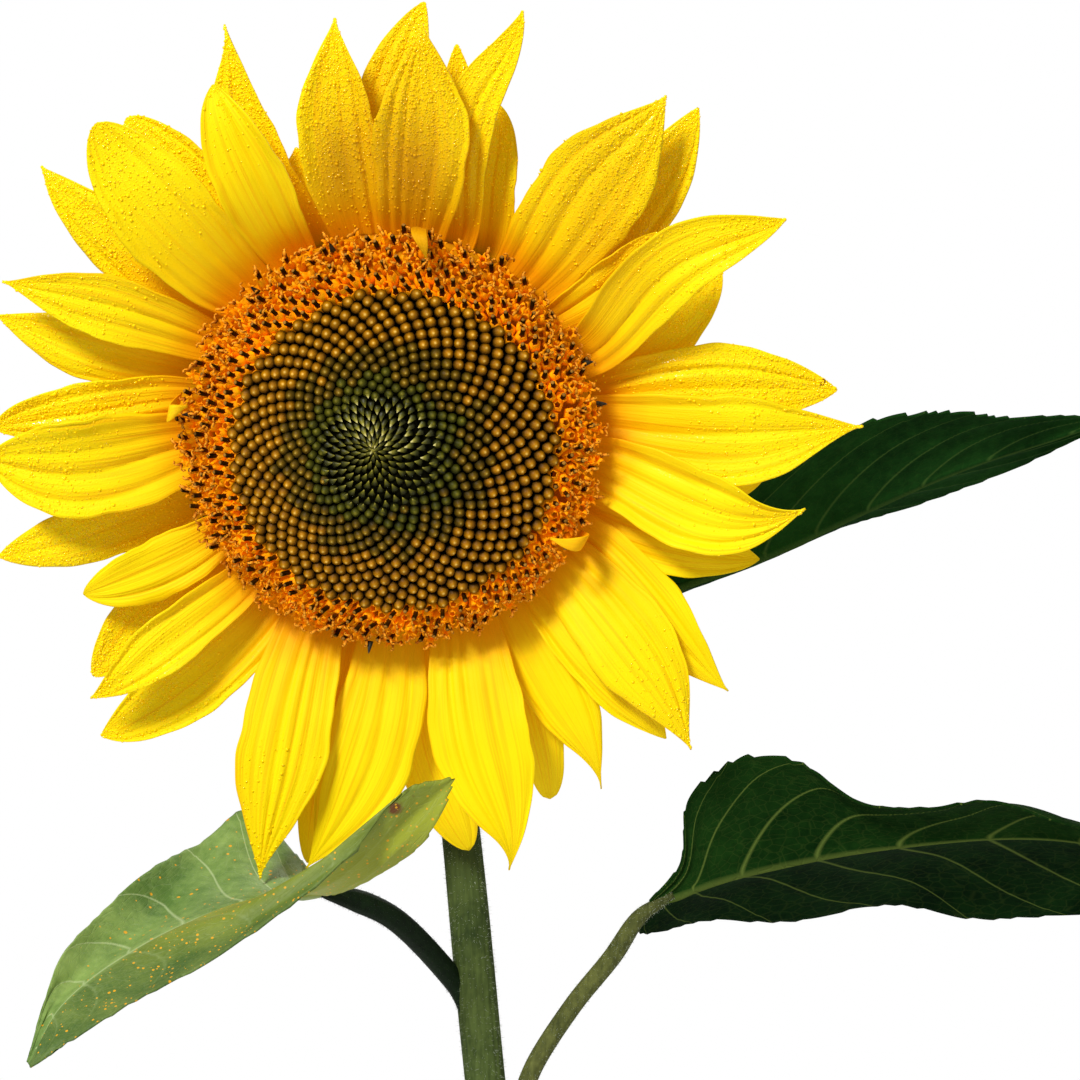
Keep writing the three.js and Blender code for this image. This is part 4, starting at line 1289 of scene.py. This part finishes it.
# The dew takes the rays' painted shade, and its faint orange emission is a painted glow.
dew_water, tree, shader = finish(
    "dew_water", 0.12, 0.5, IOR=1.33, Emission_Color=(255, 170, 0), Emission_Strength=0.1
)
put(tree, shader.inputs["Base Color"], shaded(tree, (248, 212, 2)))
for part, (first, last) in DEW_PARTS.items():
    spots = []
    axes = []
    for number in range(first, last + 1):
        wet = DEWY.get(number, 0)
        count = int(DEW_ON_ONE * wet * RAYS[number - 1][3] / 15)
        across = luck.uniform(-0.95, 0.95, count)
        lined = np.round(across * DEW_ROWS) / DEW_ROWS + luck.normal(0, 0.015, count)
        across = np.where(luck.random(count) < DEW_LINED_SHARE, lined, across)
        share = 1 - luck.beta(1, 1.7, count) * (0.55 + 0.4 * wet)
        surface = ray_forms[number]
        spot = surface(across, share)
        over = unit(np.cross(surface(across + 0.01, share) - spot, surface(across, share + 0.005) - spot))
        over = over * np.sign(over[:, 2:])
        spots.append(spot + over * DEW_LIFT)
        axes.append(over)
    spots, axes = np.concatenate(spots), np.concatenate(axes)
    sizes = np.clip(luck.gamma(5, 0.035, len(spots)), *DEW_SIZES)
    drop = bmesh.new()
    bmesh.ops.create_icosphere(drop, subdivisions=1, radius=1)
    dew_places = standing(spots, axes, sizes, sizes * DEW_FLATNESS)
    scatter(part, drop, dew_places, dew_water, "ray_floret", pose=HEAD_POSE)

# Stunted rays
# Three small rays that grew wrong: they stand up at the rim, fold, and curl in over the open florets.
# A row is: angle of the foot, how far from the middle its tip lies, width.
STUNTED = [(-28, 32.5, 3.8), (169, 36, 4), (80, 34.5, 3.4)]
STUNTED_THICKNESS = 0.25
STUNTED_COLUMNS = 16
STUNTED_ROWS = 28
ray_orange = petal_skin("ray_orange", (222, 126, 0), (236, 152, 0), (246, 182, 4))
for number, (degrees, reach, width) in enumerate(STUNTED, 1):
    out, across_way = outward(math.radians(degrees))
    ends = [out * 40.6 + [0, 0, 4], out * 43.5 + [0, 0, 19.5], out * (reach + 2.6) + [0, 0, 13.6]]

    def stunted_surface(across, share, ends=ends, across_way=across_way, width=width):
        centre = arc(*ends, share[:, None])
        half = ray_half(share, width * 0.85, 1.2)
        place = centre + across_way * (across * half + 1.2 * np.sin(share * 4))[:, None]
        place[:, 2] += (0.3 * np.abs(np.sin(3 * across)) - 0.9 * np.abs(across) * width / 5) * (1.1 - share)
        return place

    stunted_mesh = blade(stunted_surface, STUNTED_COLUMNS, STUNTED_ROWS, STUNTED_THICKNESS)
    node = f"stunted_floret_{number}"
    piece(f"stunted_ray_{number}", stunted_mesh, ray_orange, "ray_floret", node, pose=HEAD_POSE)

# Floor and light
# A plain pale floor that ends softly before the lens could see it, a key light in front on the upper
# left, a weak broad fill from the right and a rim light behind.
FLOOR_RADIUS = 0.42
# A lamp is: place, size, power. All of them face the target.
LAMPS = {
    "key": ((-0.55, -1.15, 0.95), 0.3, 24),
    "fill": ((1.1, -0.8, 0.35), 1.0, 1.4),
    "back": ((0.3, 1.1, 0.9), 0.9, 7),
}
TARGET = Vector((-0.01, -0.03, 0.18))
WORLD_LIGHT = 0.36

floor_mesh = bmesh.new()
bmesh.ops.create_circle(floor_mesh, cap_ends=True, segments=96, radius=FLOOR_RADIUS)
floor_data = bpy.data.meshes.new("floor")
floor_mesh.to_mesh(floor_data)
floor_mesh.free()
floor = bpy.data.objects.new("floor", floor_data)
bpy.context.scene.collection.objects.link(floor)
floor_pale, tree, shader = finish("floor_pale", 0.9, 0.1, Base_Color=(0.86, 0.86, 0.85, 1))
put(tree, shader.inputs["Alpha"], ranged(tree, far_from(tree, (0, 0, 0)), FLOOR_RADIUS, FLOOR_RADIUS * 0.45))
floor_data.materials.append(floor_pale)

for name, (place, size, power) in LAMPS.items():
    lamp = bpy.data.objects.new(name, bpy.data.lights.new(name, "AREA"))
    lamp.data.size = size
    lamp.data.energy = power
    lamp.location = place
    lamp.rotation_euler = (TARGET - Vector(place)).to_track_quat("-Z", "Y").to_euler()
    bpy.context.scene.collection.objects.link(lamp)

world = bpy.data.worlds.new("world")
world.use_nodes = True
bpy.context.scene.world = world
sky = world.node_tree
background = sky.nodes["Background"]
path = add(sky, "LightPath")
strength = add(sky, "MapRange", {"Value": path.outputs["Is Camera Ray"], "To Min": WORLD_LIGHT})
put(sky, background.inputs["Color"], (255, 255, 255))
put(sky, background.inputs["Strength"], strength.outputs["Result"])
bpy.context.scene.view_settings.view_transform = "Standard"
